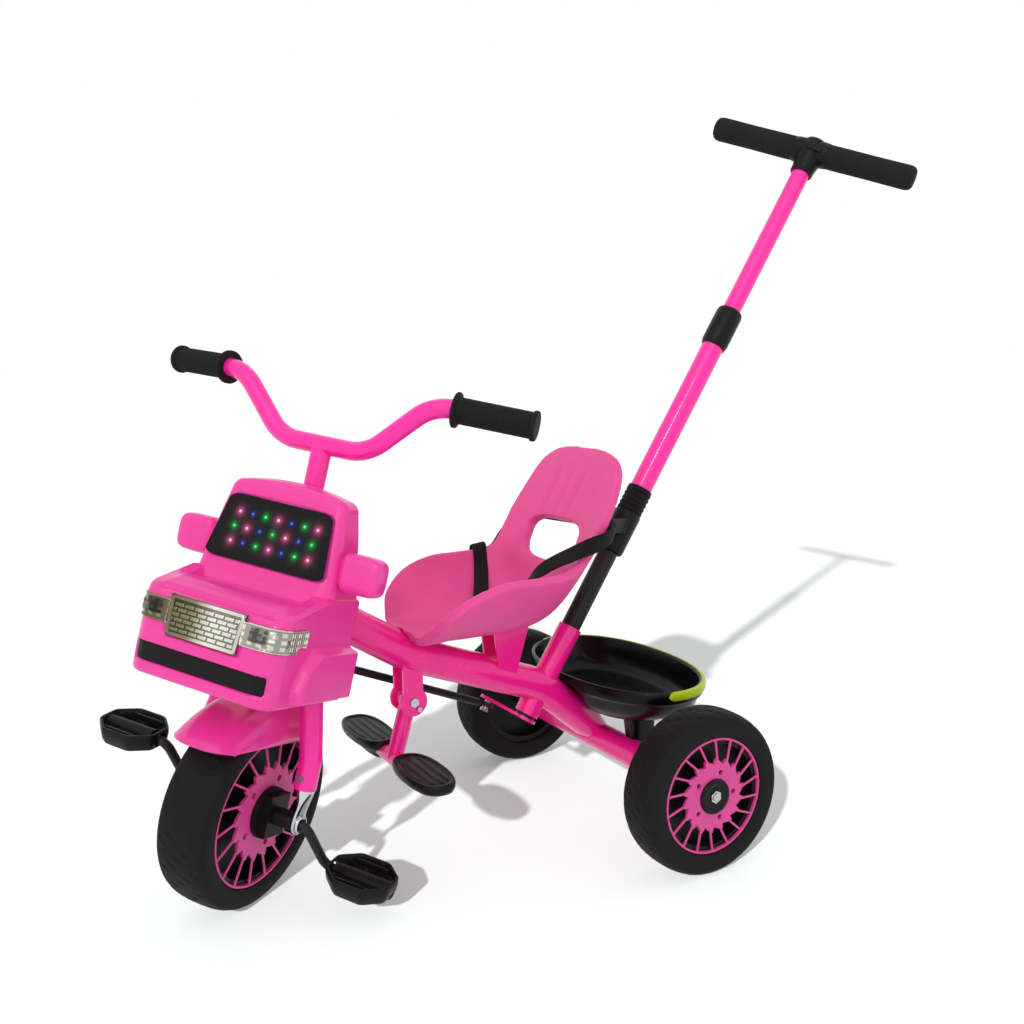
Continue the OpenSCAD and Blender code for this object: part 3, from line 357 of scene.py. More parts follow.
def surface(name, colour, shade=0.9, patch=40, rough=(0.3, 0.4), bump=0.05, grain=900, metallic=0.0, coat=0.0,
            specular=0.3):
    """Principled material with patchy colour, patchy roughness and a fine grain."""
    m = bpy.data.materials.new(name)
    m.use_nodes = True
    tree = m.node_tree
    bsdf = set_inputs(tree.nodes["Principled BSDF"], ("Metallic", metallic), ("Specular IOR Level", specular),
                      ("Coat Weight", coat), ("Coat Roughness", COAT_ROUGH))
    coords = new_node(tree, "ShaderNodeTexCoord")
    cloud = new_node(tree, "ShaderNodeTexNoise", ("Scale", patch), ("Detail", CLOUD_DETAIL))
    ramp = new_node(tree, "ShaderNodeValToRGB")
    bright = srgb(colour)
    dark = tuple(c * shade for c in bright[:3]) + (1,)
    for element, position, tint in zip(ramp.color_ramp.elements, CLOUD_ENDS, (dark, bright)):
        element.position = position
        element.color = tint
    spread = new_node(tree, "ShaderNodeMapRange", ("To Min", rough[0]), ("To Max", rough[1]))
    fine = new_node(tree, "ShaderNodeTexNoise", ("Scale", grain))
    bumps = new_node(tree, "ShaderNodeBump", ("Strength", bump), ("Distance", MM))
    wire(tree, (coords, "Object", cloud, "Vector"), (coords, "Object", fine, "Vector"),
         (cloud, "Fac", ramp, "Fac"), (ramp, "Color", bsdf, "Base Color"),
         (cloud, "Fac", spread, "Value"), (spread, "Result", bsdf, "Roughness"),
         (fine, "Fac", bumps, "Height"), (bumps, "Normal", bsdf, "Normal"))
    return m


def webbing_material():
    m = surface("webbing", (25, 22, 23), rough=(0.75, 0.9), bump=0.5, specular=0.12)
    tree = m.node_tree
    weave = new_node(tree, "ShaderNodeTexVoronoi", ("Scale", 900))
    wire(tree, (tree.nodes["Texture Coordinate"], "Object", weave, "Vector"),
         (weave, "Distance", tree.nodes["Bump"], "Height"))
    set_inputs(tree.nodes["Principled BSDF"], ("Sheen Weight", 0.08))
    return m


def glow_material(name, colour, strength):
    m = surface(name, colour, rough=(0.15, 0.25), patch=400)
    bsdf = m.node_tree.nodes["Principled BSDF"]
    set_inputs(bsdf, ("Emission Color", srgb(colour)), ("Emission Strength", strength))
    return m


def screen_material():
    """Gloss black panel that carries the glow of the lights as a colour attribute."""
    m = surface("screen", (18, 14, 16), rough=(0.04, 0.1), bump=0.01, specular=0.16)
    tree = m.node_tree
    bsdf = set_inputs(tree.nodes["Principled BSDF"], ("Emission Strength", 1.0))
    glow = new_node(tree, "ShaderNodeAttribute")
    glow.attribute_name = "glow"
    wire(tree, (glow, "Color", bsdf, "Emission Color"))
    return m


# Painted reflection on the chrome: ramp colours from dark to bright across each plate, with brighter bands.
CHROME_REFLECTION_ENDS = ((112, 106, 82), (206, 204, 190))
CHROME_REFLECTION_BANDS = ((0.36, (140, 134, 106)), (0.62, (238, 238, 224)), (0.8, (230, 228, 212)))


def chrome_material():
    """Plated plastic: painted reflection from dark to bright across, times the painted shade stored as
    "relief".
    """
    m = surface("chrome", CHROME_REFLECTION_ENDS[1], rough=(0.1, 0.2), metallic=1.0, bump=0.08, grain=700)
    tree = m.node_tree
    across = new_node(tree, "ShaderNodeSeparateXYZ")
    ramp = new_node(tree, "ShaderNodeValToRGB")
    for element, colour in zip(ramp.color_ramp.elements, CHROME_REFLECTION_ENDS):
        element.color = srgb(colour)
    for position, colour in CHROME_REFLECTION_BANDS:
        ramp.color_ramp.elements.new(position).color = srgb(colour)
    relief = new_node(tree, "ShaderNodeAttribute")
    relief.attribute_name = "relief"
    both = new_node(tree, "ShaderNodeMix", ("Factor", 1.0))
    both.data_type = "RGBA"
    both.blend_type = "MULTIPLY"
    first, second = [s for s in both.inputs if s.type == "RGBA"]
    result = [s for s in both.outputs if s.type == "RGBA"][0]
    wire(tree, (tree.nodes["Texture Coordinate"], "Generated", across, "Vector"), (across, "X", ramp, "Fac"))
    tree.links.new(ramp.outputs["Color"], first)
    tree.links.new(relief.outputs["Color"], second)
    tree.links.new(result, tree.nodes["Principled BSDF"].inputs["Base Color"])
    return m


FINISHES = {
    "paint": dict(colour=(250, 26, 146), shade=0.97, rough=(0.22, 0.3), bump=0.02, coat=0.4),
    "pole_paint": dict(colour=(254, 32, 164), shade=0.97, rough=(0.25, 0.33), bump=0.02, coat=0.4),
    "truck": dict(colour=(242, 58, 160), shade=0.97, rough=(0.26, 0.34), bump=0.03, coat=0.3),
    "seat": dict(colour=(234, 80, 152), shade=0.95, rough=(0.42, 0.52), bump=0.08, grain=1600),
    "disc": dict(colour=(218, 72, 148), shade=0.94, rough=(0.35, 0.45), bump=0.04),
    "tyre": dict(colour=(26, 24, 25), shade=0.85, patch=25, rough=(0.6, 0.75), bump=0.25, grain=1400,
                 specular=0.12),
    "black": dict(colour=(20, 18, 19), shade=0.85, rough=(0.32, 0.45), bump=0.08, grain=1200, specular=0.15),
    "basket": dict(colour=(9, 8, 8), shade=0.85, rough=(0.2, 0.3), specular=0.16),
    "steel_black": dict(colour=(36, 31, 35), rough=(0.35, 0.45), specular=0.2),
    "rubber": dict(colour=(26, 25, 26), shade=0.88, rough=(0.6, 0.72), bump=0.2, grain=1500, specular=0.15),
    "foam": dict(colour=(38, 37, 38), shade=0.86, rough=(0.8, 0.92), bump=0.5, grain=1800, specular=0.12),
    "zinc": dict(colour=(190, 190, 194), shade=0.85, rough=(0.2, 0.32), metallic=1.0, bump=0.06),
    "bright": dict(colour=(200, 202, 206), shade=0.92, rough=(0.06, 0.14), metallic=1.0, bump=0.03),
    "lime": dict(colour=(176, 196, 0), shade=0.93, rough=(0.25, 0.35), specular=0.2),
}
M = {name: surface(name, **values) for name, values in FINISHES.items()}
M["chrome"] = chrome_material()
M["webbing"] = webbing_material()
M["screen"] = screen_material()
M["red"] = glow_material("light_red", (236, 140, 176), 1.0)
M["green"] = glow_material("light_green", (40, 200, 96), 0.9)
M["blue"] = glow_material("light_blue", (60, 90, 190), 0.5)
BEVEL_STEPS = 3
BEVEL_FROM = math.radians(35)


def dress(finish, *names, bevel=0.0):
    """Gives CAD nodes a material, and rounds their edges."""
    for name in names:
        obj = nodes[name]
        obj.data.materials.clear()
        obj.data.materials.append(M[finish])
        if bevel:
            obj.modifiers.new("weld", "WELD").merge_threshold = MERGE
            edge = obj.modifiers.new("edge", "BEVEL")
            edge.width = bevel * MM
            edge.segments = BEVEL_STEPS
            edge.limit_method = "ANGLE"
            edge.angle_limit = BEVEL_FROM
            edge.harden_normals = True


def dress_frame():
    """Finishes of the CAD nodes that no piece stands for."""
    dress("paint", "head_tube", "axle_tube", "pole_socket", "footrest_leg")
    dress("paint", "seat_bracket", "footrest_bracket", "pole_arm", bevel=0.8)
    dress("pole_paint", "pole_lower", "pole_upper")
    dress("black", "headset_bushes", "front_core", "rear_core_left", "rear_core_right")
    dress("black", "front_hubs", bevel=1.2)
    dress("steel_black", "fork_arm", "pole_shaft", "steering_rod")
    dress("zinc", "rear_axle", "axle_nuts", "seat_bolts", "basket_screws", "footrest_bolts", "dropout_screws",
          "arm_bolt", bevel=0.4)


# Truck-shaped front, in millimetres of HEAD. BUMPER is half width, low and high. GRILLE has half widths
# below and above, low and high. LAMP has its start and end along the hood's outline, low and high.
HOOD_HALF, HOOD_FRONT, HOOD_CORNER, HOOD_BACK = 92, 142, 22, 3
HOOD_LOW, HOOD_NOSE, HOOD_TOP = 146, 238, 262
HOOD_BELLY, HOOD_FOOT, HOOD_TUCK = 2.5, 6, 5
HOOD_EDGE_SIDE, HOOD_EDGE_FRONT = 5, 14
DECK_IN_SIDE, DECK_IN_FRONT, DECK_CROWN = 7, 5, 3.0
TROUGH_DEEP, TROUGH_HALF, TROUGH_FLAT = 8, 74, 66
CAB_HALF, CAB_FRONT, CAB_CORNER, CAB_BACK = 89, 68, 15, 6
ROOF_HALF, ROOF_FRONT, ROOF_CORNER, ROOF_BACK = 76, 48, 11, 22
CAB_SUNK, CAB_EDGE, ROOF_Z, ROOF_RISE = 8, 11, 369, 2
ROOF_BOW_FROM, ROOF_BOW_UP, ROOF_BOW_DOWN = 40, 3, 8
SHELL_WALL = 3
BUMPER = (85, 160, 181)
GRILLE = (45, 48, 194, 237)
LAMP = (46, 131, 205, 231)
BED_CORNER, BUMPER_BED, GRILLE_BED, GRILLE_MARGIN, GRILLE_BED_UP = 4, 3.0, 2.0, 2, 8
ARCH = ((8, 150), (8, 209), (-78, 209), (-95, 190), (-105, 166), (-101, 150))
ARCH_OUT, ARCH_SOFT = 12, 5
SCREEN_LOW, SCREEN_HIGH = (80, 277), (68, 349)
SCREEN_OUT, SCREEN_BED, SCREEN_MARGIN, SCREEN_CORNER = 2.3, 1.2, 1, 9
SIDE_STEPS, CORNER_STEPS, FRONT_STEPS = 60, 20, 80


def u_outline(half, front, corner, back):
    """Open outline from the right rear round the front to the left rear, as (x, y, normal x, normal y)."""
    rows = [(-half, y, -1, 0) for y in np.linspace(-back, corner - front, SIDE_STEPS)]
    for a in np.radians(np.linspace(180, 270, CORNER_STEPS)[1:]):
        c, s = math.cos(a), math.sin(a)
        rows.append((corner - half + corner * c, corner - front + corner * s, c, s))
    left = [(-x, y, -nx, ny) for x, y, nx, ny in rows[::-1]]
    rows += [(x, -front, 0, -1) for x in np.linspace(corner - half, half - corner, FRONT_STEPS)[1:-1]]
    return np.array(rows + left, float)


def along_outline(outline):
    """Distance along an outline from its front middle."""
    steps = np.hypot(*np.diff(outline[:, :2], axis=0).T)
    run = np.concatenate([[0], np.cumsum(steps)])
    return run - run[-1] / 2


def pushed(outline, out, z):
    """Points of an outline at height z, moved out along its normals."""
    x, y, nx, ny = outline.T
    return points(x + nx * out, y + ny * out, z)


def in_polygon(polygon, y, z):
    """Depth of a point inside a convex polygon."""
    depth = np.full(np.shape(y), np.inf)
    middle = np.mean(polygon, axis=0)
    for a, b in zip(polygon, polygon[1:] + polygon[:1]):
        normal = np.array((b[1] - a[1], a[0] - b[0])) / math.dist(a, b)
        normal *= math.copysign(1, normal @ (middle - a))
        depth = np.minimum(depth, (y - a[0]) * normal[0] + (z - a[1]) * normal[1])
    return depth


def in_box(s, z, half, low, high, corner):
    """Depth of a point inside a rounded rectangle about s = 0."""
    ds = np.abs(s) - half + corner
    dz = np.abs(z - (low + high) / 2) - (high - low) / 2 + corner
    return corner - np.hypot(np.maximum(ds, 0), np.maximum(dz, 0)) - np.minimum(np.maximum(ds, dz), 0)


HOOD_OUTLINE = u_outline(HOOD_HALF, HOOD_FRONT, HOOD_CORNER, HOOD_BACK)
HOOD_RUN = along_outline(HOOD_OUTLINE)


def hood_top_z(y):
    return np.interp(y, (-HOOD_FRONT, -CAB_FRONT, 0), (HOOD_NOSE, HOOD_TOP, HOOD_TOP))


def belly(z, sideways):
    """Crown of the hood's front wall."""
    share = np.clip((z - HOOD_LOW) / (HOOD_NOSE - HOOD_LOW), 0, 1)
    return HOOD_BELLY * np.sin(math.pi * share) * (1 - sideways)


def hood_relief(y, z, sideways):
    """Stand-out of the hood wall: belly, arches, and the beds of the bumper and the grille."""
    _, half, low, high = GRILLE
    grille_bed = in_box(HOOD_RUN, z, half + GRILLE_MARGIN, low - GRILLE_MARGIN, high + GRILLE_BED_UP,
                        BED_CORNER)
    foot = np.clip((HOOD_LOW + HOOD_FOOT - z) / HOOD_FOOT, 0, 1)
    out = belly(z, sideways)
    out = out + ARCH_OUT * smooth_step(0, ARCH_SOFT, in_polygon(ARCH, y, z)) * smooth_step(0.9, 1, sideways)
    out = out - BUMPER_BED * smooth_step(-0.5, 1, in_box(HOOD_RUN, z, *BUMPER, BED_CORNER))
    out = out - GRILLE_BED * smooth_step(-0.5, 1.5, grille_bed)
    return out - HOOD_TUCK * (1 - np.sqrt(1 - foot ** 2))


def make_hood():
    inner = u_outline(CAB_HALF - DECK_IN_SIDE, CAB_FRONT - DECK_IN_FRONT, CAB_CORNER, HOOD_BACK)
    y = HOOD_OUTLINE[:, 1]
    sideways = np.abs(HOOD_OUTLINE[:, 2])
    edge_r = mix(HOOD_EDGE_SIDE, HOOD_EDGE_FRONT, 1 - sideways)
    edge_z = hood_top_z(y) - edge_r
    rings = []
    for t in np.linspace(0, 1, 64):
        z = mix(HOOD_LOW, edge_z, t)
        rings.append(pushed(HOOD_OUTLINE, hood_relief(y, z, sideways), z))
    for a in quarter_turn(9):
        rings.append(pushed(HOOD_OUTLINE, edge_r * (math.cos(a) - 1), edge_z + edge_r * math.sin(a)))
    last = rings[-1]
    for t in np.linspace(0, 1, 40)[1:]:
        px, py = mix(last[:, :2], inner[:, :2], t).T
        trough = smooth_step(0.5, 0.58, t) * (1 - smooth_step(0.86, 0.92, t))
        trough = TROUGH_DEEP * trough * smooth_step(-TROUGH_HALF, -TROUGH_FLAT, -np.abs(px))
        crown = DECK_CROWN * math.sin(math.pi * min(t / 0.55, 1))
        rings.append(points(px, py, hood_top_z(py) + (crown - trough) * (1 - sideways)))
    thicken(piece("hood", sheet(rings), HEAD, "truck", "fork", "truck_hood", crease=60), SHELL_WALL)


def cab_share(z):
    """Height in the cab, from 0 at the hood's top to 1 at the roof."""
    return (z - HOOD_TOP) / (ROOF_Z - HOOD_TOP)


def cab_outline(z):
    f = cab_share(z)
    return u_outline(mix(CAB_HALF, ROOF_HALF, f), mix(CAB_FRONT, ROOF_FRONT, f),
                     mix(CAB_CORNER, ROOF_CORNER, f), mix(CAB_BACK, ROOF_BACK, f))


def screen_half(z):
    return np.interp(z, (SCREEN_LOW[1], SCREEN_HIGH[1]), (SCREEN_LOW[0], SCREEN_HIGH[0]))


def make_cab():
    edge_z = ROOF_Z - CAB_EDGE
    half = SCREEN_LOW[0] + SCREEN_MARGIN
    low, high = SCREEN_LOW[1] - SCREEN_MARGIN, SCREEN_HIGH[1] + SCREEN_MARGIN
    rings = []
    for z in np.linspace(HOOD_TOP - CAB_SUNK, edge_z, 70):
        outline = cab_outline(z)
        bed = in_box(outline[:, 0] / screen_half(z) * SCREEN_LOW[0], z, half, low, high, SCREEN_CORNER)
        facing_front = smooth_step(0.5, 0.9, -outline[:, 3])
        rings.append(pushed(outline, -SCREEN_BED * smooth_step(-0.5, 1, bed) * facing_front, z))
    outline = cab_outline(edge_z)
    for a in quarter_turn(10):
        rings.append(pushed(outline, CAB_EDGE * (math.cos(a) - 1), edge_z + CAB_EDGE * math.sin(a)))
    x, y = rings[-1][:, :2].T
    for t in np.linspace(0, 1, 24)[1:]:
        rise = ROOF_RISE * math.sin(t * math.pi / 2)
        rings.append(points(x * (1 - t), mix(y, (y - ROOF_BACK) / 2, t), ROOF_Z + rise))
    for ring in rings:
        bow = ROOF_BOW_UP - ROOF_BOW_DOWN * (ring[:, 0] / ROOF_HALF) ** 2
        ring[:, 2] += smooth_step(ROOF_Z - ROOF_BOW_FROM, ROOF_Z, ring[:, 2]) * bow
    thicken(piece("cab", sheet(rings), HEAD, "truck", "fork", "truck_cab", crease=60), SHELL_WALL)


def on_screen(x, z, out=SCREEN_OUT):
    """Point on the outer face of the windscreen, at height z above the axle."""
    return x, -mix(CAB_FRONT, ROOF_FRONT, cab_share(z)) - out, z


# Lights of the windscreen: rows of letters, and for each letter its finish, node, halo colour and halo width.
LIGHT_ROWS = ("RBGRBGR", "GRBGRBG", "RBGRBGR")
LIGHT_PITCH, LIGHT_ROW, LIGHT_SHIFTS = 17.2, 16.7, (2.7, 0.8, 1.8)
LIGHT_R, LIGHT_RISE = 1.7, 0.6
GLOWS = {"R": ("red", "lights_red", (200, 84, 136), 4.0), "G": ("green", "lights_green", (10, 160, 66), 3.4),
         "B": ("blue", "lights_blue", (30, 56, 150), 2.6)}
GLOW_CORE, GLOW_HALO = 0.8, 0.16
SCREEN_MIDDLE = (SCREEN_LOW[1] + SCREEN_HIGH[1]) / 2
SCREEN_HALF_Z = (SCREEN_HIGH[1] - SCREEN_LOW[1]) / 2


def light_places():
    """Letter, x and z of every light."""
    for row, letters in enumerate(LIGHT_ROWS):
        for i, letter in enumerate(letters):
            yield letter, (i - 3) * LIGHT_PITCH + LIGHT_SHIFTS[row], SCREEN_MIDDLE + (1 - row) * LIGHT_ROW


def rounded(u, v, corner=0.2):
    """Point of the unit square, moved so that the outer rings have round corners."""
    k = max(abs(u), abs(v), 1e-6)
    a, b = abs(u) / k, abs(v) / k
    q = 1 - corner
    if min(a, b) <= q:
        return u, v
    along, length = q * (a + b), a * a + b * b
    f = (along + math.sqrt(along ** 2 - length * (2 * q * q - corner ** 2))) / length
    shrink = 1 + (f - 1) * k ** 6
    return u * shrink, v * shrink


def store_glow(screen, places):
    """Stores the halos of the lights as a colour on the panel's points."""
    inverse = HEAD.inverted()
    glow = screen.data.color_attributes.new("glow", "FLOAT_COLOR", "POINT")
    colours = {letter: np.array(srgb(row[2])[:3]) for letter, row in GLOWS.items()}
    for v in screen.data.vertices:
        p = inverse @ v.co
        total = np.zeros(3)
        for letter, x, z in places:
            d = math.hypot(p.x - x, p.z - z) / GLOWS[letter][3]
            halo = GLOW_CORE * math.exp(-d ** 2) + GLOW_HALO * math.exp(-(d / 2) ** 2)
            total += colours[letter] * halo
        glow.data[v.index].color = (*total, 1)


def make_windscreen():
    rings = []
    for v in np.linspace(-1, 1, 84):
        ring = []
        for u in np.linspace(-1, 1, 180):
            pu, pv = rounded(u, v)
            z = SCREEN_MIDDLE + pv * SCREEN_HALF_Z
            ring.append(on_screen(pu * screen_half(z), z))
        rings.append(ring)
    screen = piece("windscreen_panel", sheet(rings), HEAD, "screen", "fork", "windscreen")
    places = list(light_places())
    store_glow(screen, places)
    arc = np.radians((0, 20, 45, 70, 90))
    dome = lathe([(LIGHT_R * math.cos(a), LIGHT_R * LIGHT_RISE * math.sin(a)) for a in arc], 16)
    outward = Vector(on_screen(0, 0, 1)) - Vector(on_screen(0, 0, 0))
    tilt = outward.to_track_quat("Z", "Y").to_matrix().to_4x4()
    for letter, (finish, node, *_) in GLOWS.items():
        spots = [on_screen(x, z) for own, x, z in places if own == letter]
        domes = [moved(dome, Matrix.Translation(spot) @ tilt) for spot in spots]
        piece(f"screen_{node}", merged(*domes), HEAD, finish, "fork", node)


def hood_at(s, z, out):
    """Points on the hood's wall at distance s from its front middle, standing out by out."""
    x, y, nx, ny = (np.interp(s, HOOD_RUN, column) for column in HOOD_OUTLINE.T)
    out = (out + belly(z, np.abs(nx))) / np.hypot(nx, ny)
    return points(x + nx * out, y + ny * out, z)


BUMPER_GAP, BUMPER_SUNK, BUMPER_EDGE, BUMPER_WALL = 0.8, 1.4, 0.8, 1.5
BRICK_W, BRICK_H, BRICK_SHIFT = 13.0, 5.2, 0.37
GRILLE_CORNER, GRILLE_OUT, GRILLE_RIM, GRILLE_WALL = 5, 1.2, 2.0, 3.5
# Painted shade of the grille's hollows: the share of colour left at the lowest relief, and the relief over
# which it comes back.
PAINTED_SHADE_DARK, PAINTED_SHADE_FROM, PAINTED_SHADE_TO = 0.25, 1.7, 2.05
LAMP_CORNER, LAMP_NOTCH, LAMP_WRAP, LAMP_OUT, LAMP_RIM, LAMP_WALL = 3, 7, 100, 0.6, 1.4, 1.2
LENSES, LENS_R, LENS_OUT = (66, 90), 9, 1.4
# Height and half height of the dark cell in the lamps' painted reflection.
LAMP_CELL_Z, LAMP_CELL_HALF = 220, 6


def make_bumper():
    half, low, high = BUMPER
    s, z = np.meshgrid(np.linspace(BUMPER_GAP - half, half - BUMPER_GAP, 90),
                       np.linspace(low + BUMPER_GAP, high - BUMPER_GAP, 16))
    edge = 1 - smooth_step(0, 2.5, in_box(s, z, half, low, high, BED_CORNER))
    plate = sheet(hood_at(s, z, -BUMPER_SUNK - BUMPER_EDGE * edge))
    thicken(piece("bumper_insert", plate, HEAD, "black", "fork", "bumper_strip", crease=50), BUMPER_WALL)


def grille_relief(s, z):
    """Stand-out of the grille: a rim round rows of hollowed bricks."""
    _, half, low, high = GRILLE
    edge = in_box(s, z, half, low, high, GRILLE_CORNER)
    rim = smooth_step(0, 1.5, edge) - 0.8 * smooth_step(3.5, 5, edge)
    row = np.floor((z - low) / BRICK_H)
    across = (s / BRICK_W + BRICK_SHIFT * row) % 1 * BRICK_W
    across = np.minimum(across, BRICK_W - across)
    up = (z - low) % BRICK_H
    up = np.minimum(up, BRICK_H - up)
    brick = smooth_step(0.6, 1.6, across) * smooth_step(0.5, 1.3, up)
    hollow = 0.5 * smooth_step(2.2, 3, across) * smooth_step(1.4, 2, up)
    return GRILLE_OUT + GRILLE_RIM * rim + (0.7 * brick - 0.3 * hollow) * smooth_step(5, 6, edge)


def store_painted_shade(obj, shade):
    """Stores painted shade and reflection for each point of a plate, before it gets its wall."""
    layer = obj.data.color_attributes.new("relief", "FLOAT_COLOR", "POINT")
    for v, k in zip(layer.data, np.ravel(shade)):
        v.color = (k, k, k, 1)


def make_grille():
    low_half, high_half, low, high = GRILLE
    t, z = np.meshgrid(np.linspace(-1, 1, 150), np.linspace(low, high, 90))
    s = t * mix(low_half, high_half, (z - low) / (high - low))
    relief = grille_relief(t * high_half, z)
    plate = piece("grille_plate", sheet(hood_at(s, z, relief)), HEAD, "chrome", "fork", "grille", crease=50)
    # Painted shade: the grille is darker where its relief is low, in its hollows and between its bricks.
    store_painted_shade(plate, mix(PAINTED_SHADE_DARK, 1, smooth_step(PAINTED_SHADE_FROM, PAINTED_SHADE_TO, relief)))
    thicken(plate, GRILLE_WALL)


def in_lamp(s, z):
    start, end, low, high = LAMP
    return in_box(s - (start + end) / 2, z, (end - start) / 2, low, high, LAMP_CORNER)


def lamp_relief(s, z):
    """Stand-out of a lamp strip: a rim, two lenses and fine ribs."""
    edge = in_lamp(s, z)
    rim = smooth_step(0, 1, edge) - 0.7 * smooth_step(2, 3, edge)
    middle = (LAMP[2] + LAMP[3]) / 2
    lens = 0
    for centre in LENSES:
        lens = lens + LENS_OUT * smooth_step(0, 5, LENS_R - np.hypot((s - centre) * 0.8, z - middle))
    wrapped = smooth_step(LAMP_WRAP, LAMP_WRAP + 4, s)
    ribs = 0.3 * np.sin(s * 1.6) * wrapped + 0.16 * np.sin(z * 1.4) * (1 - wrapped)
    return LAMP_OUT + LAMP_RIM * rim + (lens + ribs) * smooth_step(2.5, 3.5, edge)


def lamp_painted_reflection(s, z):
    """Painted reflection on a lamp strip: a dark cell and dark bars inside a bright rim."""
    cell = 1 - smooth_step(0, 3, np.abs(s - LENSES[0]) - LENS_R)
    cell = cell * (1 - smooth_step(0, 3, np.abs(z - LAMP_CELL_Z) - LAMP_CELL_HALF))
    bars = smooth_step(-0.3, 0.3, np.sin(s * 0.55 + 1.0)) * smooth_step(-0.6, 0.2, np.sin(z * 0.9))
    shade = np.where(s < LAMP_WRAP, 1 - 0.75 * cell, 1.0) * (0.5 + 0.5 * bars)
    return np.maximum(shade, 1 - smooth_step(1.2, 2.4, in_lamp(s, z)))


def make_lamps():
    start, end, low, high = LAMP
    t, u = np.meshgrid(np.linspace(0, 1, 170), np.linspace(0, 1, 54))
    s = mix(start, end, t)
    z = mix(low + LAMP_NOTCH * smooth_step(0.78, 0.86, t), high, u)
    sheets = [sheet(hood_at(side * s, z, lamp_relief(s, z))) for _, side in SIDES]
    strips = piece("lamp_strips", merged(*sheets), HEAD, "chrome", "fork", "headlights", crease=50)
    # Painted reflection: a dark cell and dark bars over the chrome of the lamp strips.
    shade = lamp_painted_reflection(s, z)
    store_painted_shade(strips, np.concatenate([shade, shade]))
    thicken(strips, LAMP_WALL)


# Mirrors: steps of x and scale.
MIRROR_MIDDLE, MIRROR_HALF, MIRROR_SIDES = (-39, 292.5), (15, 21.5), 48
MIRROR_STEPS = ((79, 0.55), (84, 0.66), (87, 0.8), (90, 0.93), (94, 1.0), (110, 1.01), (124, 0.98),
                (130, 0.9), (133, 0.76), (134.3, 0.55), (134.8, 0.25))


def make_mirrors():
    rings = []
    for x, k in MIRROR_STEPS:
        ring = oval(MIRROR_HALF[0] * k, MIRROR_HALF[1] * k, 4, MIRROR_SIDES)
        rings.append([(x, MIRROR_MIDDLE[0] + p[0], MIRROR_MIDDLE[1] + p[1]) for p in ring])
    fine = [spline([ring[i] for ring in rings], 60) for i in range(MIRROR_SIDES)]
    shell = loft(np.array(fine).transpose(1, 0, 2))
    piece("mirror_shells", mirrored(shell), HEAD, "truck", "fork", "mirrors")


# Mudguard: a visor with a bowed front edge and side walls, over the tyre.
GUARD_R, GUARD_HALF, GUARD_LOW, GUARD_FRONT, GUARD_BOW, GUARD_BACK, GUARD_WALL = 135, 42, 84, 100, 21, 18, 3
GUARD_FOOT, GUARD_ROUND = 81, 0.62


def make_mudguard():
    reach = math.sqrt(GUARD_R ** 2 - GUARD_FOOT ** 2)
    stretch = (GUARD_R - GUARD_LOW) / (GUARD_R - GUARD_FOOT)
    rings = []
    for t in np.linspace(0, 1, 80) ** 1.5:
        bent = min(mix(-reach, GUARD_BACK, t), 0)
        rise = (math.sqrt(GUARD_R ** 2 - bent ** 2) - GUARD_FOOT) * stretch
        ring = []
        for a in np.linspace(0, math.pi, 120):
            x = GUARD_HALF * signed_power(math.cos(a), GUARD_ROUND)
            bow = GUARD_BOW * (1 - abs(x / GUARD_HALF) ** 3) * (1 - smooth_step(0, 0.75, t))
            y = mix(-GUARD_FRONT, GUARD_BACK, t) - bow
            ring.append((x, y, GUARD_LOW + rise * math.sin(a) ** GUARD_ROUND))
        rings.append(ring)
    thicken(piece("mudguard_shell", sheet(rings), HEAD, "truck", "fork", "mudguard", crease=60), GUARD_WALL)


def make_truck():
    make_hood()
    make_cab()
    make_windscreen()
    make_bumper()
    make_grille()
    make_lamps()
    make_mirrors()
    make_mudguard()


# Bent tubes: the main tube in REAR, the fork, handlebar and crank in HEAD.
TUBE_R, TUBE_BEND, TUBE_END = 22, 120, 0.66
TUBE_LINE = ((0, -424.8, 352.8), (0, -280, 260), (0, -95, 189), (0, 0, 108))
HEAD_TUBE_R, HEAD_TUBE_FROM, HEAD_TUBE_TO = 23.6, 190, 300
SOCKET_R, SOCKET_FROM, SOCKET_TO = 15.8, -910, -750
FORK_LINE = both_ways(((52, 0, 158), (72, 0, 72), (72, 0, 40)))
FORK_R, FORK_BEND, STEERER_R, STEERER_LOW, STEERER_TOP = 13, 27, 12.5, 150, 310
BAR_HALF = ((58, 0, 421), (128, 0, 489), (241, 23, 489))
BAR_R, BAR_BEND, STEM_R = 11, 58, 12
CRANK_THROW = (33.27, -47.51)
CRANK_HALF = ((84, 0, 0), (101, *CRANK_THROW), (186, *CRANK_THROW))
CRANK_LINE = [(-x, -y, -z) for x, y, z in CRANK_HALF[::-1]] + list(CRANK_HALF)
CRANK_R, CRANK_BEND = 5.5, 17


def main_tube_line():
    return eased(TUBE_LINE, TUBE_BEND, 24)


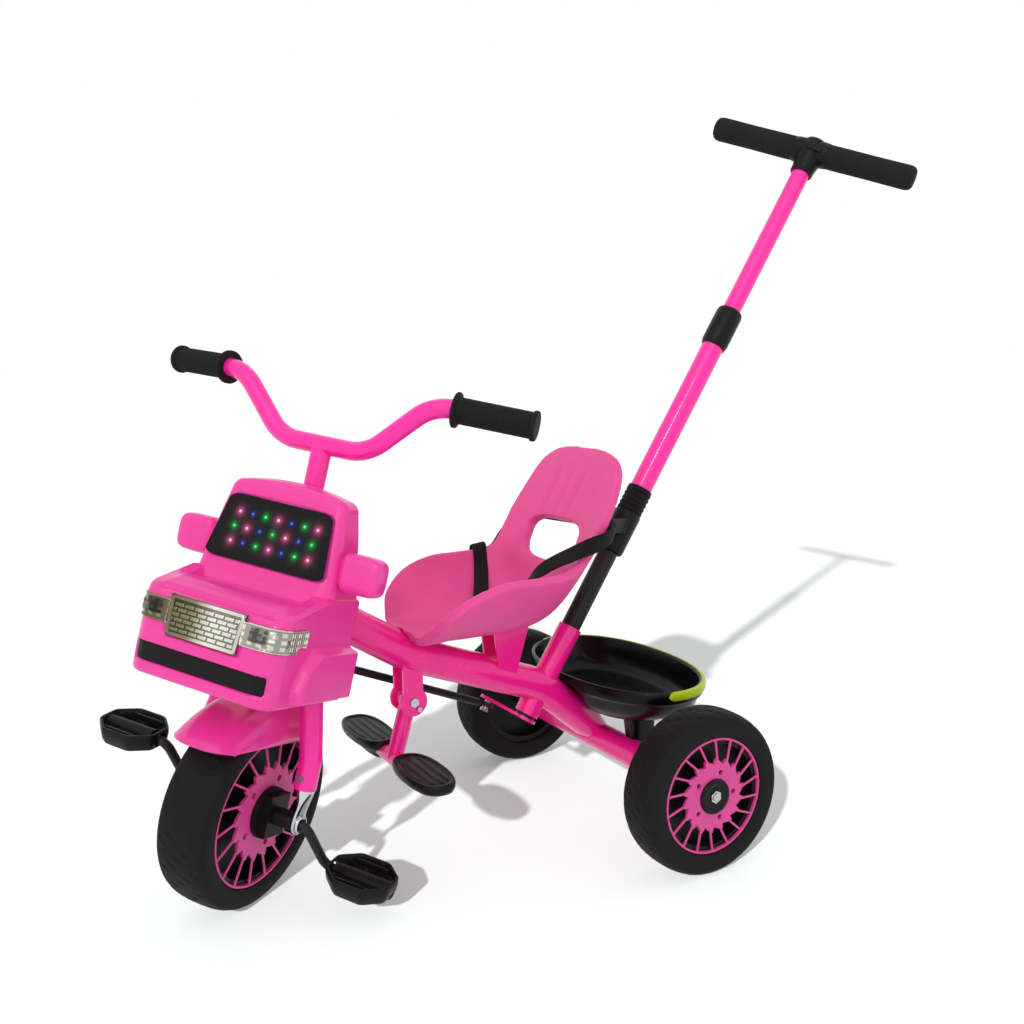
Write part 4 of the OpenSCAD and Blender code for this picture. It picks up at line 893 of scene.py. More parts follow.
def make_tubes():
    *line, end = main_tube_line()
    foot = end + (line[-1] - end).normalized() * TUBE_R * 1.3
    radii = [TUBE_R] * (len(line) + 1) + [TUBE_R * TUBE_END]
    tube = piece("main_tube_bent", sweep(line + [foot, end], radii, 56), REAR, "paint", "frame", "main_tube")
    cut(tube, rod(HEAD_TUBE_R, HEAD_TUBE_FROM, HEAD_TUBE_TO, 64), HEAD)
    cut(tube, rod(SOCKET_R, SOCKET_FROM, SOCKET_TO, 64), POLE)
    sharpen(tube, 40)
    fork = merged(sweep(eased(FORK_LINE, FORK_BEND), FORK_R, 40), rod(STEERER_R, STEERER_LOW, STEERER_TOP))
    piece("fork_bent", fork, HEAD, "pole_paint", "fork", "fork")
    stem = rod(STEM_R, STEERER_TOP, BAR_HALF[0][2])
    bar = merged(sweep(eased(both_ways(BAR_HALF), BAR_BEND, 14), BAR_R, 40), stem)
    piece("handlebar_bent", bar, HEAD, "pole_paint", "fork", "handlebar")
    crank = sweep(eased(CRANK_LINE, CRANK_BEND, 12), CRANK_R, 28)
    piece("crank_bent", crank, HEAD, "steel_black", "front_wheel", "crank")


# Dropouts: steps of height, half thickness, half width and shift; bosses: a profile along the axle.
DROPOUT_X = 72.6
DROPOUT_STEPS = (
    (54, 11.4, 11.4, 0), (44, 11.6, 11.6, 0), (38, 11.0, 11.8, 0.2), (31, 7.5, 11.4, 1.6),
    (24, 4.4, 11.0, 2.2), (17, 3.2, 11.0, 1.4), (10, 3.0, 11.6, 0.3), (4, 3.0, 12.2, 0),
    (-3, 3.0, 12.0, 0), (-8, 3.0, 9.4, 0), (-11, 3.0, 5.6, 0), (-12.4, 2.6, 1.5, 0))
DROPOUT_LEAST, DROPOUT_BORE_GAP, DROPOUT_BORE_HALF = 0.5, 0.5, 100
BOSS = ((5.9, 74.6), (10.2, 74.8), (10.6, 75.4), (10.4, 77.2), (9.4, 78.3), (7.4, 78.4), (6.0, 77.6))


def make_dropouts():
    rings = []
    for z, half_x, half_y, shift in spline(DROPOUT_STEPS, 60):
        half_x, half_y = max(half_x, DROPOUT_LEAST), max(half_y, DROPOUT_LEAST)
        rings.append(oval(half_x, half_y, np.interp(z, (24, 36), (2.6, 2)), 40, (DROPOUT_X + shift, 0), z))
    drop = piece("dropouts_pressed", mirrored(loft(rings)), HEAD, "bright", "fork", "fork_dropouts")
    cut(drop, moved(rod(CRANK_R + DROPOUT_BORE_GAP, -DROPOUT_BORE_HALF, DROPOUT_BORE_HALF), facing(1)), HEAD)
    sharpen(drop, 45)
    piece("axle_bosses", mirrored(moved(lathe(BOSS, 40), facing(1))), HEAD, "bright", "fork")


# Tyres: moulded foam with a low wavy tread.
FRONT_R, FRONT_HALF, FRONT_BORE, FRONT_WAVES = 116, 32, 88, 22
REAR_R, REAR_HALF, REAR_BORE, REAR_WAVES, REAR_X = 100, 28, 70.7, 20, 216
TREAD_DEEP, TREAD_ABOVE, TYRE_WALL = 0.9, 10, 14
REAR_HUB = REAR @ Matrix.Translation((0, 0, REAR_R))


def tyre_shape(radius, half, bore, waves):
    """Tyre about x, with a lip at each side of its bore."""
    wall = bore + TYRE_WALL
    profile = [(signed_power(math.sin(a), 0.8) * half, wall + (radius - wall) * abs(math.cos(a)) ** 0.52)
               for a in np.linspace(-1, 1, 41) * math.pi / 2]
    lip = [(6 - half, bore), (2 - half, bore + 1.2), (-half, bore + 6)]
    profile = lip + profile + [(-x, r) for x, r in lip[::-1]] + lip[:1]
    angles = full_turn(480)
    rings = []
    for x, r in profile:
        share = x / half
        wave = np.sin(waves * angles + 5.5 * share) + 0.5 * np.sin(2 * waves * angles - 9 * share)
        tread = TREAD_DEEP * smooth_step(0.35, 0.9, wave) * smooth_step(0.0, 0.3, 0.97 - abs(share))
        r = r - tread * (r > bore + TREAD_ABOVE)
        rings.append(points(x, r * np.cos(angles), r * np.sin(angles)))
    return loft(rings, caps=False)


def make_tyres():
    shape = tyre_shape(FRONT_R, FRONT_HALF, FRONT_BORE, FRONT_WAVES)
    piece("front_tyre_foam", shape, HEAD, "tyre", "front_wheel", "front_tyre")
    shape = tyre_shape(REAR_R, REAR_HALF, REAR_BORE, REAR_WAVES)
    for side, sign in SIDES:
        place = REAR_HUB @ Matrix.Translation((sign * REAR_X, 0, 0))
        piece(f"rear_tyre_foam_{side}", shape, place, "tyre", f"rear_wheel_{side}", f"rear_tyre_{side}")


# Wheel discs: a thin rim, slanted thin spokes and a saw-toothed hub plate with five holes.
SPOKES, DISC_T, SPOKE_W, SPOKE_T, SPOKE_LEAN, SPOKE_LAG = 18, 4.0, 2.4, 2.0, math.radians(9), 0.06
SPOKE_MIDDLE, SPOKE_HALF, SPOKE_PIVOT = 0.74, 0.25, 0.97
SPOKE_STEPS = ((DISC_T - SPOKE_T, 1), (DISC_T - 0.7, 1), (DISC_T - 0.3, 0.97))
TOOTH_LOW, TOOTH_DEEP, TOOTH_PEAK, TOOTH_POINTS = 0.55, 0.1, 0.86, 14
DISC_EDGE = 0.5
RIM = ((2.8, 0), (0.1, 0), (0.1, DISC_T - DISC_EDGE), (0.6, DISC_T), (2.3, DISC_T),
       (2.8, DISC_T - DISC_EDGE), (2.8, 0))
DISC_HOLES, DISC_HOLE_R, DISC_HOLE_TURN, DISC_CUT = 5, 0.045, 0.3, 2
FRONT_DISC_X, FRONT_DISC_BORE, FRONT_HOLES_R = 25.4, 28, 39
REAR_DISC_X, REAR_DISC_BORE, REAR_HOLES_R = 237.4, 12, 29


def disc_shapes(radius, bore):
    """Hub plate, and the rim with its spokes, about z, from 0 to the disc's thickness."""
    angles = full_turn(SPOKES * TOOTH_POINTS)
    share = (angles * SPOKES / (2 * math.pi)) % 1
    saw = np.where(share < TOOTH_PEAK, share / TOOTH_PEAK, (1 - share) / (1 - TOOTH_PEAK))
    tooth = radius * (TOOTH_LOW + TOOTH_DEEP * saw)
    section = ((bore, 0), (tooth, 0), (tooth, DISC_T - DISC_EDGE), (tooth - DISC_EDGE, DISC_T),
               (bore, DISC_T), (bore, 0))
    plate = loft([points(r * np.cos(angles), r * np.sin(angles), z) for r, z in section], caps=False)
    rim = lathe([(radius - inset, z) for inset, z in RIM], 180)
    bar = ovals(radius * SPOKE_HALF, SPOKE_W / 2, 12, 24, (radius * SPOKE_MIDDLE, 0), SPOKE_STEPS)
    reach = Vector((radius * SPOKE_PIVOT, 0, 0))
    lean = Matrix.Translation(reach) @ Matrix.Rotation(SPOKE_LEAN, 4, "Z") @ Matrix.Translation(-reach)
    turns = [Matrix.Rotation((i - SPOKE_LAG) * 2 * math.pi / SPOKES, 4, "Z") for i in range(SPOKES)]
    return plate, merged(rim, *(moved(bar, turn @ lean) for turn in turns))


def make_disc(name, base, turns, radius, bore, holes_r, body, node):
    """The discs of one wheel, each brought to its side of the wheel by a turn."""
    plate, spokes = disc_shapes(radius, bore)
    hub = piece(f"{name}_plate", merged(*(moved(plate, turn) for turn in turns)), base, "disc", body, node)
    hole = rod(radius * DISC_HOLE_R, -DISC_CUT, DISC_T + DISC_CUT, 24)
    for i in range(DISC_HOLES):
        angle = i * 2 * math.pi / DISC_HOLES + DISC_HOLE_TURN
        at = Matrix.Rotation(angle, 4, "Z") @ Matrix.Translation((holes_r, 0, 0))
        for turn in turns:
            cut(hub, moved(hole, turn @ at), base)
    sharpen(hub, 35)
    piece(f"{name}_spokes", merged(*(moved(spokes, turn) for turn in turns)), base, "disc", body)


def make_discs():
    lift = Matrix.Translation((0, 0, FRONT_DISC_X))
    turns = [facing(sign) @ lift for _, sign in SIDES]
    make_disc("front_disc", HEAD, turns, FRONT_BORE, FRONT_DISC_BORE, FRONT_HOLES_R, "front_wheel",
              "front_discs")
    lift = Matrix.Translation((0, 0, REAR_DISC_X))
    for side, sign in SIDES:
        name = f"rear_disc_{side}"
        turns = [facing(sign) @ lift]
        make_disc(name, REAR_HUB, turns, REAR_BORE, REAR_DISC_BORE, REAR_HOLES_R, f"rear_wheel_{side}", name)


CAP = ((21.4, 241.3), (21.4, 243), (20.6, 244.4), (18.6, 245.2), (15.0, 244.8), (11.0, 242.8), (8.2, 242.4))


def make_caps():
    for side, sign in SIDES:
        piece(f"hub_cap_{side}", lathe(CAP, 56), REAR_HUB @ facing(sign), "black", f"rear_wheel_{side}")


# Grips of the handlebar, as profiles along its end.
GRIP_R, GRIP_GROOVE, GRIP_FROM, GRIP_TO = 15, 0.45, 33, 112
GRIP_FLANGE = ((11.2, 24.6), (19, 24.8), (20, 25.8), (20, 28.4), (19, 29.4), (15.6, 30.4), (15, 32))
GRIP_END = ((15.2, 112.5), (16.6, 113.2), (17, 114.6), (17, 117), (16, 118.4), (10, 118.8), (4, 118.2),
            (0, 118))


def make_grips():
    ribs = [(GRIP_R - GRIP_GROOVE * (math.sin(t * 2.2) > 0.2), t)
            for t in np.linspace(GRIP_FROM, GRIP_TO, 160)]
    grip = lathe(GRIP_FLANGE + tuple(ribs) + GRIP_END, 56)
    inner, outer = (Vector(p) for p in BAR_HALF[1:])
    along = (outer - inner).to_track_quat("Z", "Y").to_matrix().to_4x4()
    grip = moved(grip, Matrix.Translation(inner) @ along)
    piece("grips_moulded", mirrored(grip), HEAD, "rubber", "fork", "grips")


# Turned pieces of the push pole, as profiles in POLE.
FOAM_PROFILE = ((11.4, 22), (16.0, 22), (16.8, 24), (17.0, 40), (16.7, 90), (17.0, 138), (16.6, 143),
                (15.2, 146.6), (12.6, 148.7), (8, 149), (0, 149))
TEE_POST = ((12.9, -37.4), (15.4, -37.2), (16.2, -35.5), (16.4, -28), (17.4, -23), (18.6, -17), (19.2, -8),
            (19.4, 4), (18.8, 11), (16.0, 15.5), (11, 17.8), (6, 18.6), (0, 18.7))
TEE_SLEEVE = ((0, -27), (15.6, -27), (17.2, -25.5), (17.9, -21), (18.4, -10), (18.4, 10), (17.9, 21),
              (17.2, 25.5), (15.6, 27), (0, 27))
COLLAR = ((13, -268), (16.2, -268), (17.4, -269.5), (18.5, -274), (18.5, -318), (17.6, -323), (16.6, -326),
          (15.3, -326))
WRAP = ((15.4, -588), (17.4, -588.4), (18.5, -591), (18.5, -643), (17.6, -646.5), (15.5, -648), (13.1, -648))
LOOP_TOP, LOOP_LOW, LOOP_R, LOOP_RIB = -552, -588, 17.2, 0.5
KNOB_R, KNOB_TO = 6.5, 21.5
LEVER_STEPS = ((-21, 0.6), (-20, 0.9), (-18, 1), (-10, 1))


def make_pole():
    sleeve = moved(lathe(FOAM_PROFILE, 56), facing(1))
    piece("foam_sleeves", mirrored(sleeve), POLE, "foam", "pole_top", "foam_grips")
    knob = moved(rod(KNOB_R, 0, KNOB_TO), Matrix.Rotation(math.pi / 2, 4, "X"))
    lever = ovals(12, 4, 4, 32, (6, 0), LEVER_STEPS)
    lever = moved(lever, Matrix.Rotation(-math.pi / 2, 4, "X") @ Matrix.Translation((0, 4, 0)))
    hub = merged(lathe(TEE_POST, 48), moved(lathe(TEE_SLEEVE, 48), facing(1)), knob, lever)
    piece("tee_hub", hub, POLE, "black", "pole_top", "tee_handle")
    piece("collar_turned", lathe(COLLAR, 56), POLE, "black", "push_pole", "pole_collar")
    piece("wrap_turned", lathe(WRAP, 56), POLE, "black", "push_pole", "pole_wrap")
    ribs = [(LOOP_R + LOOP_RIB * math.sin((z - LOOP_TOP) * 0.9), z)
            for z in np.linspace(LOOP_TOP, LOOP_LOW, 30)]
    loop = [(15.4, LOOP_TOP + 0.5), (16.6, LOOP_TOP + 0.4)] + ribs + [(15.4, LOOP_LOW - 0.3)]
    piece("harness_loop", lathe(loop, 56), POLE, "webbing", "push_pole")


# Seat: one blow-moulded shell. Each row is the middle (y, z) and the rim (x, y, z), front lip to top.
SEAT_ROWS = (
    (-291, 297, 24, -291, 296), (-287, 296, 56, -287, 300), (-270, 292, 82, -270, 324),
    (-238, 289, 96, -240, 346), (-192, 288, 101, -200, 358), (-152, 289, 102, -158, 359),
    (-124, 296, 101, -124, 360), (-104, 316, 99, -104, 366), (-88, 350, 103, -91, 382),
    (-66, 402, 106, -71, 412), (-48, 441, 101, -49, 446), (-33, 472, 90, -33, 474),
    (-24, 489, 71, -24, 489.5), (-20, 495.6, 51, -20, 495.8), (-18.4, 498.3, 24, -18.5, 498.3))
SEAT_WALL, SEAT_RISE = 13, 3.0
LOBE_DROP, LOBE_X, LOBE_W = 6, 44, 22
BACK_FOOT, BACK_LEAN = (-108, 300), math.radians(26.57)
HOLE_UP, HOLE_HALF, HOLE_STEPS = 89, (60, 28), ((-70, 1.0), (-4, 0.98), (14, 1.04), (60, 1.1))
CREASES = ((-34, 2.5), (-6, 2.0), (22, 2.5))
CREASE_MIDDLE, CREASE_SLANT, CREASE_W = 440, 0.12, 3.2
SEAT_TUBE_GAP = 1


def seat_sheet():
    """Upper face of the seat, with lobes at the front lip and creases in the backrest."""
    across = np.linspace(-1, 1, 81)
    lift = np.abs(across) ** SEAT_RISE
    rings = []
    for y, z, rim_x, rim_y, rim_z in spline(SEAT_ROWS, 150):
        x = across * rim_x
        front = 1 - smooth_step(-292, -238, y)
        lobes = LOBE_DROP * front * np.exp(-((np.abs(x) - LOBE_X) / LOBE_W) ** 2)
        slant = CREASE_SLANT * (z - CREASE_MIDDLE)
        dent = sum(deep * np.exp(-((x - x0 - slant) / CREASE_W) ** 2) for x0, deep in CREASES)
        dent = dent * smooth_step(400, 425, z) * (1 - smooth_step(462, 480, z))
        rings.append(points(x, mix(y, rim_y, lift) + dent * math.cos(BACK_LEAN),
                            mix(z, rim_z, lift) - lobes - dent * math.sin(BACK_LEAN)))
    return sheet(rings)


def make_seat():
    seat = piece("seat_moulded", seat_sheet(), REAR, "seat", "frame", "seat_shell")
    faces = seat.data.polygons
    upward = faces[len(faces) // 4].normal.z > 0
    thicken(seat, SEAT_WALL, -1 if upward else 1)
    reskin(seat, 2.0)
    hole = ovals(*HOLE_HALF, 3.4, 64, (0, 0), HOLE_STEPS)
    middle = (0, BACK_FOOT[0] + HOLE_UP * math.sin(BACK_LEAN), BACK_FOOT[1] + HOLE_UP * math.cos(BACK_LEAN))
    cut(seat, hole, REAR @ Matrix.Translation(middle) @ Matrix.Rotation(math.pi / 2 - BACK_LEAN, 4, "X"))
    cut(seat, sweep(main_tube_line(), TUBE_R + SEAT_TUBE_GAP, 48), REAR)
    reskin(seat, 2.2)
    smooth = seat.modifiers.new("soften", "SMOOTH")
    smooth.factor = 0.5
    smooth.iterations = 7
    applied(seat)


# Basket: a rounded tub with a rolled rim band; steps of (z, half width, half depth, middle y, power).
TUB = ((150, 56, 28, 29, 2.4), (150, 98, 56, 29, 2.5), (152, 112, 66, 28.5, 2.5), (158, 125, 74, 27.5, 2.4),
       (168, 137, 79.5, 26.5, 2.3), (180, 146, 83.5, 25.5, 2.2), (183, 148.5, 85, 25, 2.15),
       (183.5, 152, 87.5, 25, 2.15), (186, 153.4, 88.5, 25, 2.15), (197, 153.4, 88.5, 25, 2.15),
       (199.4, 152.4, 87.6, 25, 2.15), (200, 150.6, 85.8, 25, 2.15), (199.4, 148.6, 83.8, 25, 2.15),
       (197, 147.6, 82.8, 25, 2.15), (180, 143, 80.5, 25.5, 2.2), (168, 134, 76.5, 26.5, 2.3),
       (158, 122, 71, 27.5, 2.4), (154.5, 109, 63, 28.5, 2.5), (153, 96, 54, 29, 2.5), (153, 56, 28, 29, 2.4))
TUB_OUTSIDE, TUB_WALL = 10, 3
FOOT_X, FOOT_Y, FOOT_HALF = 72, 16, (13, 19)
FOOT_STEPS = ((112, 0.8), (120, 0.9), (140, 1), (151, 1.2))
STRIP_HALF, STRIP_Y, STRIP_POWER, STRIP_Z = (153.6, 88.7), 25, 2.15, 194.5
STRIP_PAST, STRIP_ROUND = 0.22, 4
STRIP_SECTION = ((-0.6, -5.4), (1.6, -5.0), (2.6, -3.4), (2.6, 3.6), (1.6, 5.4), (-0.6, 6.2), (-2.4, 6.0),
                 (-2.4, 3))


def over_tube(ring, lift):
    """Raises a ring of the tub where the main tube passes under it."""
    tube_y, tube_z = zip(*(p[1:] for p in TUBE_LINE[2:]))
    out = []
    for x, y, z in ring:
        hump = np.interp(y, tube_y, tube_z) + TUBE_R * 1.32 + lift
        near = 1 - smooth_step(TUBE_R, TUBE_R * 1.9, abs(x))
        out.append((x, y, max(z, mix(z, hump, near))))
    return out


def strip_shape():
    """Band round the back of the rim, with rounded ends."""
    angles = np.linspace(-STRIP_PAST, math.pi + STRIP_PAST, 140)
    rings = []
    for i, a in enumerate(angles):
        c, s = (signed_power(v, 2 / STRIP_POWER) for v in (math.cos(a), math.sin(a)))
        end = min(i, len(angles) - 1 - i)
        k = math.sqrt(1 - (1 - min(end / STRIP_ROUND, 1)) ** 2) * 0.98 + 0.02
        rings.append([((STRIP_HALF[0] + out) * c, STRIP_Y + (STRIP_HALF[1] + out) * s, STRIP_Z + z * k)
                      for out, z in STRIP_SECTION])
    return loft(rings)


def make_basket():
    rings = [over_tube(oval(half_x, half_y, power, 160, (0, y), z), 0 if i < TUB_OUTSIDE else TUB_WALL)
             for i, (z, half_x, half_y, y, power) in enumerate(TUB)]
    piece("basket_tub", loft(rings), REAR, "basket", "frame", "basket", crease=60)
    feet = [ovals(*FOOT_HALF, 5, 40, (x, FOOT_Y), FOOT_STEPS) for x in (-FOOT_X, FOOT_X)]
    piece("basket_feet", merged(*feet), REAR, "basket", "frame")
    piece("basket_strip_moulded", strip_shape(), REAR, "lime", "frame", "basket_strip")


# Harness: webbing bands from the pole's loop round both sides of the backrest to the buckle.
# Each knot is a point and the direction of the band's width; the far side is drawn on the left and flipped.
STRAP_W, STRAP_T = 20, 2.2
STRAP_START = ((0, 46, 385, 0, 0.45, 0.9), (15, 40, 388, 0, 0.45, 0.9), (24, 23, 392, 0, 0.4, 0.92),
               (52, -8, 399, 0.05, 0.35, 0.94), (84, -36, 404, 0.05, 0.35, 0.94))
NEAR_STRAP = (
    (112, -52, 401, 0.05, 0.35, 0.94), (121, -72, 397, 0.1, 0.4, 0.9), (116, -91, 390, 0.15, 0.4, 0.9),
    (98, -103, 380, 0.2, 0.45, 0.87), (64, -121, 360, 0.35, 0.55, 0.75), (36, -148, 330, 0.4, 0.75, 0.5),
    (13, -172, 305, 0.1, 1, 0.15))
FAR_STRAP = (
    (105, -48, 406, 0.7, 0.3, 0.6), (109, -62, 394, 0.85, 0.3, 0.4), (113, -84, 374, 0.8, 0.5, 0.3),
    (120, -106, 350, 0.4, 0.9, 0.15), (121, -119, 351, 0.1, 0.98, 0.1), (117, -122, 359, 0.05, 0.99, 0.1),
    (111, -123, 363.6, 0.05, 0.99, 0.1), (104, -124, 363, 0.05, 0.99, 0.1), (98, -126, 356, 0.05, 0.99, 0.1),
    (86, -131, 338, 0.1, 0.98, 0.1), (64, -143, 318, 0.1, 0.98, 0.1), (38, -158, 303, 0.1, 0.98, 0.1),
    (13, -171, 304, 0.1, 1, 0.1))
BUCKLE_Y, BUCKLE_HALF, TONGUE_HALF = -173, (15, 19), (9, 12)
BUCKLE_STEPS = ((291, 0.9), (293, 1), (301, 1), (305, 0.93), (307, 0.75), (307.4, 0.5))
TONGUE_STEPS = ((306, 1), (308.4, 1), (309.4, 0.8), (309.6, 0.4))


def strap_shape(knots):
    rows = spline(knots, 110)
    section = oval(STRAP_W / 2, STRAP_T / 2, 5, 24)
    rings = []
    for row, step in zip(rows, np.gradient(rows[:, :3], axis=0)):
        step = Vector(step).normalized()
        wide = Vector(row[3:])
        wide = (wide - step * wide.dot(step)).normalized()
        thick = step.cross(wide)
        rings.append([Vector(row[:3]) + wide * x + thick * y for x, y, _ in section])
    return loft(rings)


def make_harness():
    near = strap_shape(STRAP_START + NEAR_STRAP)
    far = flipped(strap_shape(STRAP_START + FAR_STRAP))
    piece("harness_webbing", merged(near, far), REAR, "webbing", "frame", "harness_straps")
    body = ovals(*BUCKLE_HALF, 4, 48, (0, BUCKLE_Y), BUCKLE_STEPS)
    tongue = ovals(*TONGUE_HALF, 3, 32, (0, BUCKLE_Y), TONGUE_STEPS)
    piece("harness_buckle_moulded", merged(body, tongue), REAR, "black", "frame", "harness_buckle")


# Footrest pads: ribbed ovals; the underside is steps of x scale, y scale, z and shift towards the leg.
PAD_MIDDLE, PAD_HALF, PAD_Z = (83, -303.3), (59, 26), 143.4
PAD_RIM, PAD_RIB, PAD_RIB_REACH, PAD_DROP = 1.9, 1.5, 46, 1.2
PAD_UNDER = ((1.0, 1.0, 140.6, 0), (0.99, 0.98, 137, 0), (0.95, 0.92, 133.6, 0), (0.86, 0.76, 131.4, -2),
             (0.74, 0.56, 129, -8), (0.66, 0.47, 126, -12), (0.6, 0.42, 121.5, -14), (0.5, 0.28, 118.6, -14),
             (0.02, 0.02, 118.4, -14))


def pad_shape():
    full_x, full_y, _ = np.array(oval(*PAD_HALF, 2.5, 96)).T
    rings = []
    for k in np.linspace(0.02, 1, 46):
        x, y = full_x * k, full_y * k
        rim = smooth_step(0.84, 0.9, k) - smooth_step(0.96, 1, k)
        ribs = smooth_step(0.1, 0.5, np.sin(y * 0.62)) * smooth_step(0, 0.08, 0.82 - k)
        ribs = ribs * (np.abs(x) < PAD_RIB_REACH)
        z = PAD_Z + PAD_RIM * rim + PAD_RIB * ribs - PAD_DROP * smooth_step(0.97, 1, k)
        rings.append(points(x + PAD_MIDDLE[0], y + PAD_MIDDLE[1], z))
    for scale_x, scale_y, z, shift in PAD_UNDER:
        rings.append(points(full_x * scale_x + shift + PAD_MIDDLE[0], full_y * scale_y + PAD_MIDDLE[1], z))
    return loft(rings)


def make_pads():
    piece("foot_pads", mirrored(pad_shape()), REAR, "black", "footrest", "footrest_pads")


# Pedals: boats about their spindles, x along the spindle and z up; steps of scale, inset and z.
PEDAL_FROM, PEDAL_TURN = 108, math.radians(15.4)
PEDAL_X, PEDAL_Y, PEDAL_END, PEDAL_SIDE, PEDAL_CORNER = 41, 32, 13, 19, 5
PEDAL_STEPS = (
    (0.3, 0, -10.4), (0.82, 0, -10.6), (0.9, 0, -9.4), (0.97, 0, -4), (1.0, 0, 3), (1.0, 0, 9.6),
    (1.0, 0.8, 10.8), (1.0, 1.8, 11), (1.0, 3.2, 10.8), (1.0, 3.8, 9.8), (0.98, 5, 3.4), (0.94, 5, 2.8),
    (0.3, 0, 2.8))
PEDAL_BORES = ((6.3, 38), (9.2, -31))
PEDAL_BORE_FROM = -60
SLOT_HALF, SLOT_MIDDLE, SLOT_STEPS = (13, 4.2), (16, 14.5), ((-30, 1), (30, 1))
SPINE = ((6.4, -30.5), (9.4, -30.2), (9.6, -29), (9.6, 38), (9.4, 39.6), (6.4, 40))
TREAD_BAR, TREAD_BAR_Y, TREAD_BAR_STEPS = (24, 1.6), 22, ((2, 1), (8.2, 1), (9, 0.8))


def pedal_ring():
    """Eight-sided outline with rounded corners."""
    corners = [(PEDAL_X, PEDAL_END), (PEDAL_X, -PEDAL_END), (PEDAL_SIDE, -PEDAL_Y), (-PEDAL_SIDE, -PEDAL_Y)]
    corners += [(-x, -y) for x, y in corners]
    path = [Vector(p) for p in corners]
    ring = []
    for before, b, after in zip(path[-1:] + path, path, path[1:] + path[:1]):
        a = b + (before - b).normalized() * PEDAL_CORNER
        c = b + (after - b).normalized() * PEDAL_CORNER
        ring += [a * (1 - t) ** 2 + b * 2 * t * (1 - t) + c * t * t for t in np.linspace(0, 1, 7)]
    return np.array(ring)


def pedal_shape():
    x, y = pedal_ring().T
    length = np.hypot(x, y)
    rings = [points(x * k - x / length * inset, y * k - y / length * inset, z)
             for k, inset, z in PEDAL_STEPS]
    return loft(rings)


def make_pedals():
    for side, sign in SIDES:
        body = f"pedal_{side}"
        middle = Vector((PEDAL_FROM + PEDAL_X, *CRANK_THROW)) * sign
        turn = Matrix.Rotation(PEDAL_TURN, 4, "X") @ Matrix.Rotation(math.pi * (sign < 0), 4, "Z")
        place = HEAD @ Matrix.Translation(middle) @ turn
        boat = piece(f"pedal_boat_{side}", pedal_shape(), place, "black", body, f"pedal_{side}")
        for radius, end in PEDAL_BORES:
            cut(boat, moved(rod(radius, PEDAL_BORE_FROM, end), facing(1)), place)
        for x in (-SLOT_MIDDLE[0], SLOT_MIDDLE[0]):
            for y in (-SLOT_MIDDLE[1], SLOT_MIDDLE[1]):
                cut(boat, ovals(*SLOT_HALF, 4, 32, (x, y), SLOT_STEPS), place)
        sharpen(boat, 35)
        bars = [ovals(*TREAD_BAR, 5, 24, (0, y), TREAD_BAR_STEPS) for y in (-TREAD_BAR_Y, TREAD_BAR_Y)]
        spine = moved(lathe(SPINE, 36), facing(1))
        piece(f"pedal_spine_{side}", merged(spine, *bars), place, "black", body)


# Floor, backdrop and light.
FLOOR_HALF = 40.0
FLOOR_COLOUR = (0.478, 0.5, 0.494, 1)
FLOOR_GLOW = 0.22
WORLD_STRENGTH = 0.8
SUN_FROM = Vector((1048, -1226, 896))
SUN_STRENGTH, SUN_ANGLE = 6.5, math.radians(1.6)
KEY_FROM = Vector((1048, -900, 1150))
KEY_STRENGTH, KEY_ANGLE = 0.55, math.radians(70)
GLINT_STRENGTH, GLINT_ANGLE = 0.3, math.radians(6)


def seen_as_background(tree):
    """Socket that is 1 for camera, glossy and transmission rays, else 0."""
    path = new_node(tree, "ShaderNodeLightPath")
    total = path.outputs["Is Camera Ray"]
    for name in ("Is Glossy Ray", "Is Transmission Ray"):
        most = new_node(tree, "ShaderNodeMath")
        most.operation = "MAXIMUM"
        tree.links.new(total, most.inputs[0])
        tree.links.new(path.outputs[name], most.inputs[1])
        total = most.outputs["Value"]
    return total


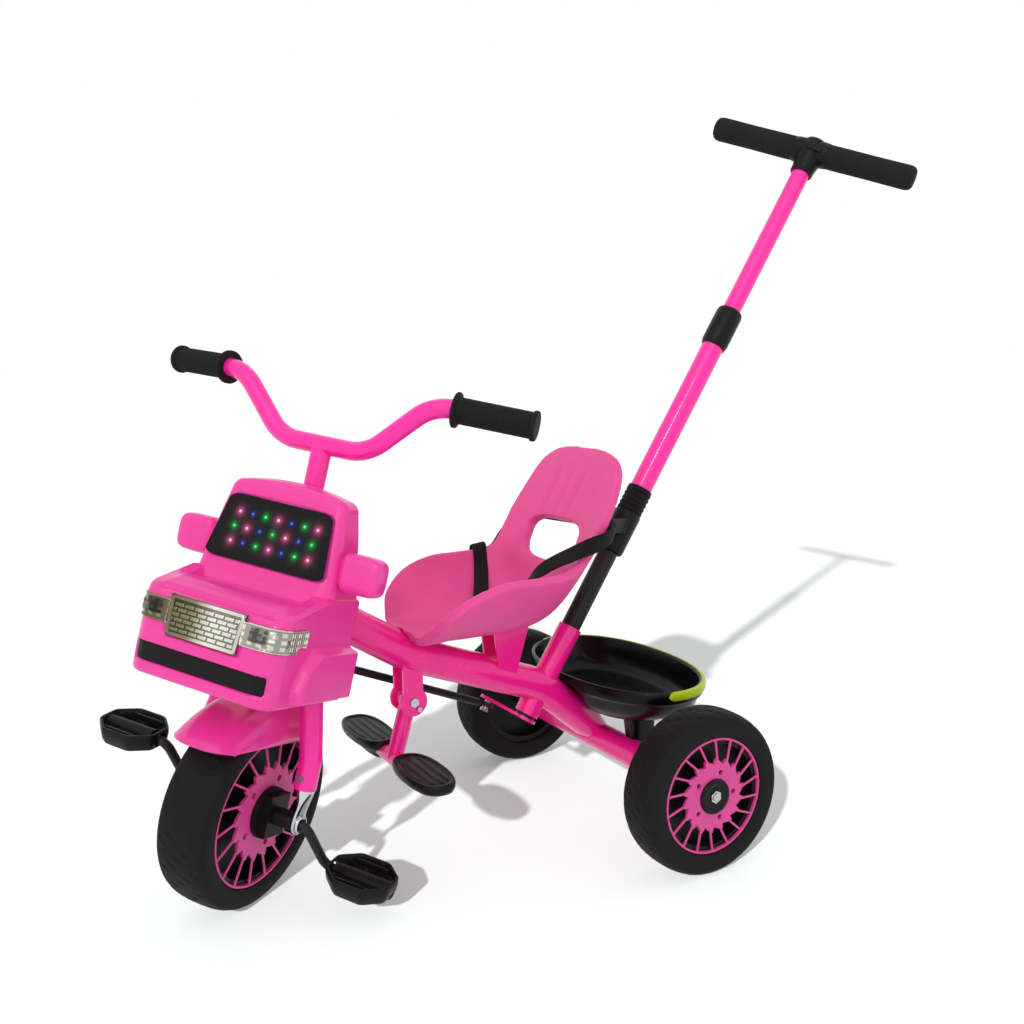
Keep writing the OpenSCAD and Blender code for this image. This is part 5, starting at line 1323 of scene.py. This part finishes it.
def floor_material():
    """Matt floor with a faint glow of its own towards the camera."""
    m = bpy.data.materials.new("floor")
    m.use_nodes = True
    tree = m.node_tree
    bsdf = set_inputs(tree.nodes["Principled BSDF"], ("Base Color", FLOOR_COLOUR), ("Roughness", 1.0),
                      ("Specular IOR Level", 0.0))
    glow = new_node(tree, "ShaderNodeEmission")
    scaled = new_node(tree, "ShaderNodeMath", (1, FLOOR_GLOW))
    scaled.operation = "MULTIPLY"
    both = new_node(tree, "ShaderNodeAddShader")
    tree.links.new(seen_as_background(tree), scaled.inputs[0])
    wire(tree, (scaled, "Value", glow, "Strength"), (bsdf, "BSDF", both, 0), (glow, "Emission", both, 1),
         (both, "Shader", tree.nodes["Material Output"], "Surface"))
    return m


def make_floor():
    h = FLOOR_HALF
    mesh = bpy.data.meshes.new("floor")
    mesh.from_pydata([(-h, -h, 0), (h, -h, 0), (h, h, 0), (-h, h, 0)], [], [(0, 1, 2, 3)])
    mesh.materials.append(floor_material())
    floor = in_scene("floor", mesh)


def make_light():
    world = bpy.data.worlds.new("world")
    bpy.context.scene.world = world
    world.use_nodes = True
    tree = world.node_tree
    spread = new_node(tree, "ShaderNodeMapRange", ("To Min", WORLD_STRENGTH), ("To Max", 1.0))
    back = set_inputs(tree.nodes["Background"], ("Color", (1, 1, 1, 1)))
    tree.links.new(seen_as_background(tree), spread.inputs["Value"])
    wire(tree, (spread, "Result", back, "Strength"))
    shine("floor_sun", SUN_FROM, SUN_STRENGTH, SUN_ANGLE, "INCLUDE")
    shine("soft_key", KEY_FROM, KEY_STRENGTH, KEY_ANGLE, "EXCLUDE")
    shine("glint", KEY_FROM, GLINT_STRENGTH, GLINT_ANGLE, "EXCLUDE")


def shine(name, source, strength, angle, floor_state):
    """A sun that lights the floor alone, or all but the floor."""
    sun = bpy.data.lights.new(name, "SUN")
    sun.energy = strength
    sun.angle = angle
    lamp = in_scene(name, sun)
    lamp.rotation_mode = "QUATERNION"
    lamp.rotation_quaternion = source.to_track_quat("Z", "Y")
    lit = bpy.data.collections.new(f"{name}_lit")
    lit.objects.link(bpy.data.objects["floor"])
    lit.collection_objects[0].light_linking.link_state = floor_state
    lamp.light_linking.receiver_collection = lit


make_camera()
dress_frame()
make_truck()
make_tubes()
make_dropouts()
make_tyres()
make_discs()
make_caps()
make_grips()
make_pole()
make_seat()
make_basket()
make_harness()
make_pads()
make_pedals()
make_floor()
make_light()
bpy.context.scene.view_settings.view_transform = "Standard"
bpy.context.view_layer.update()
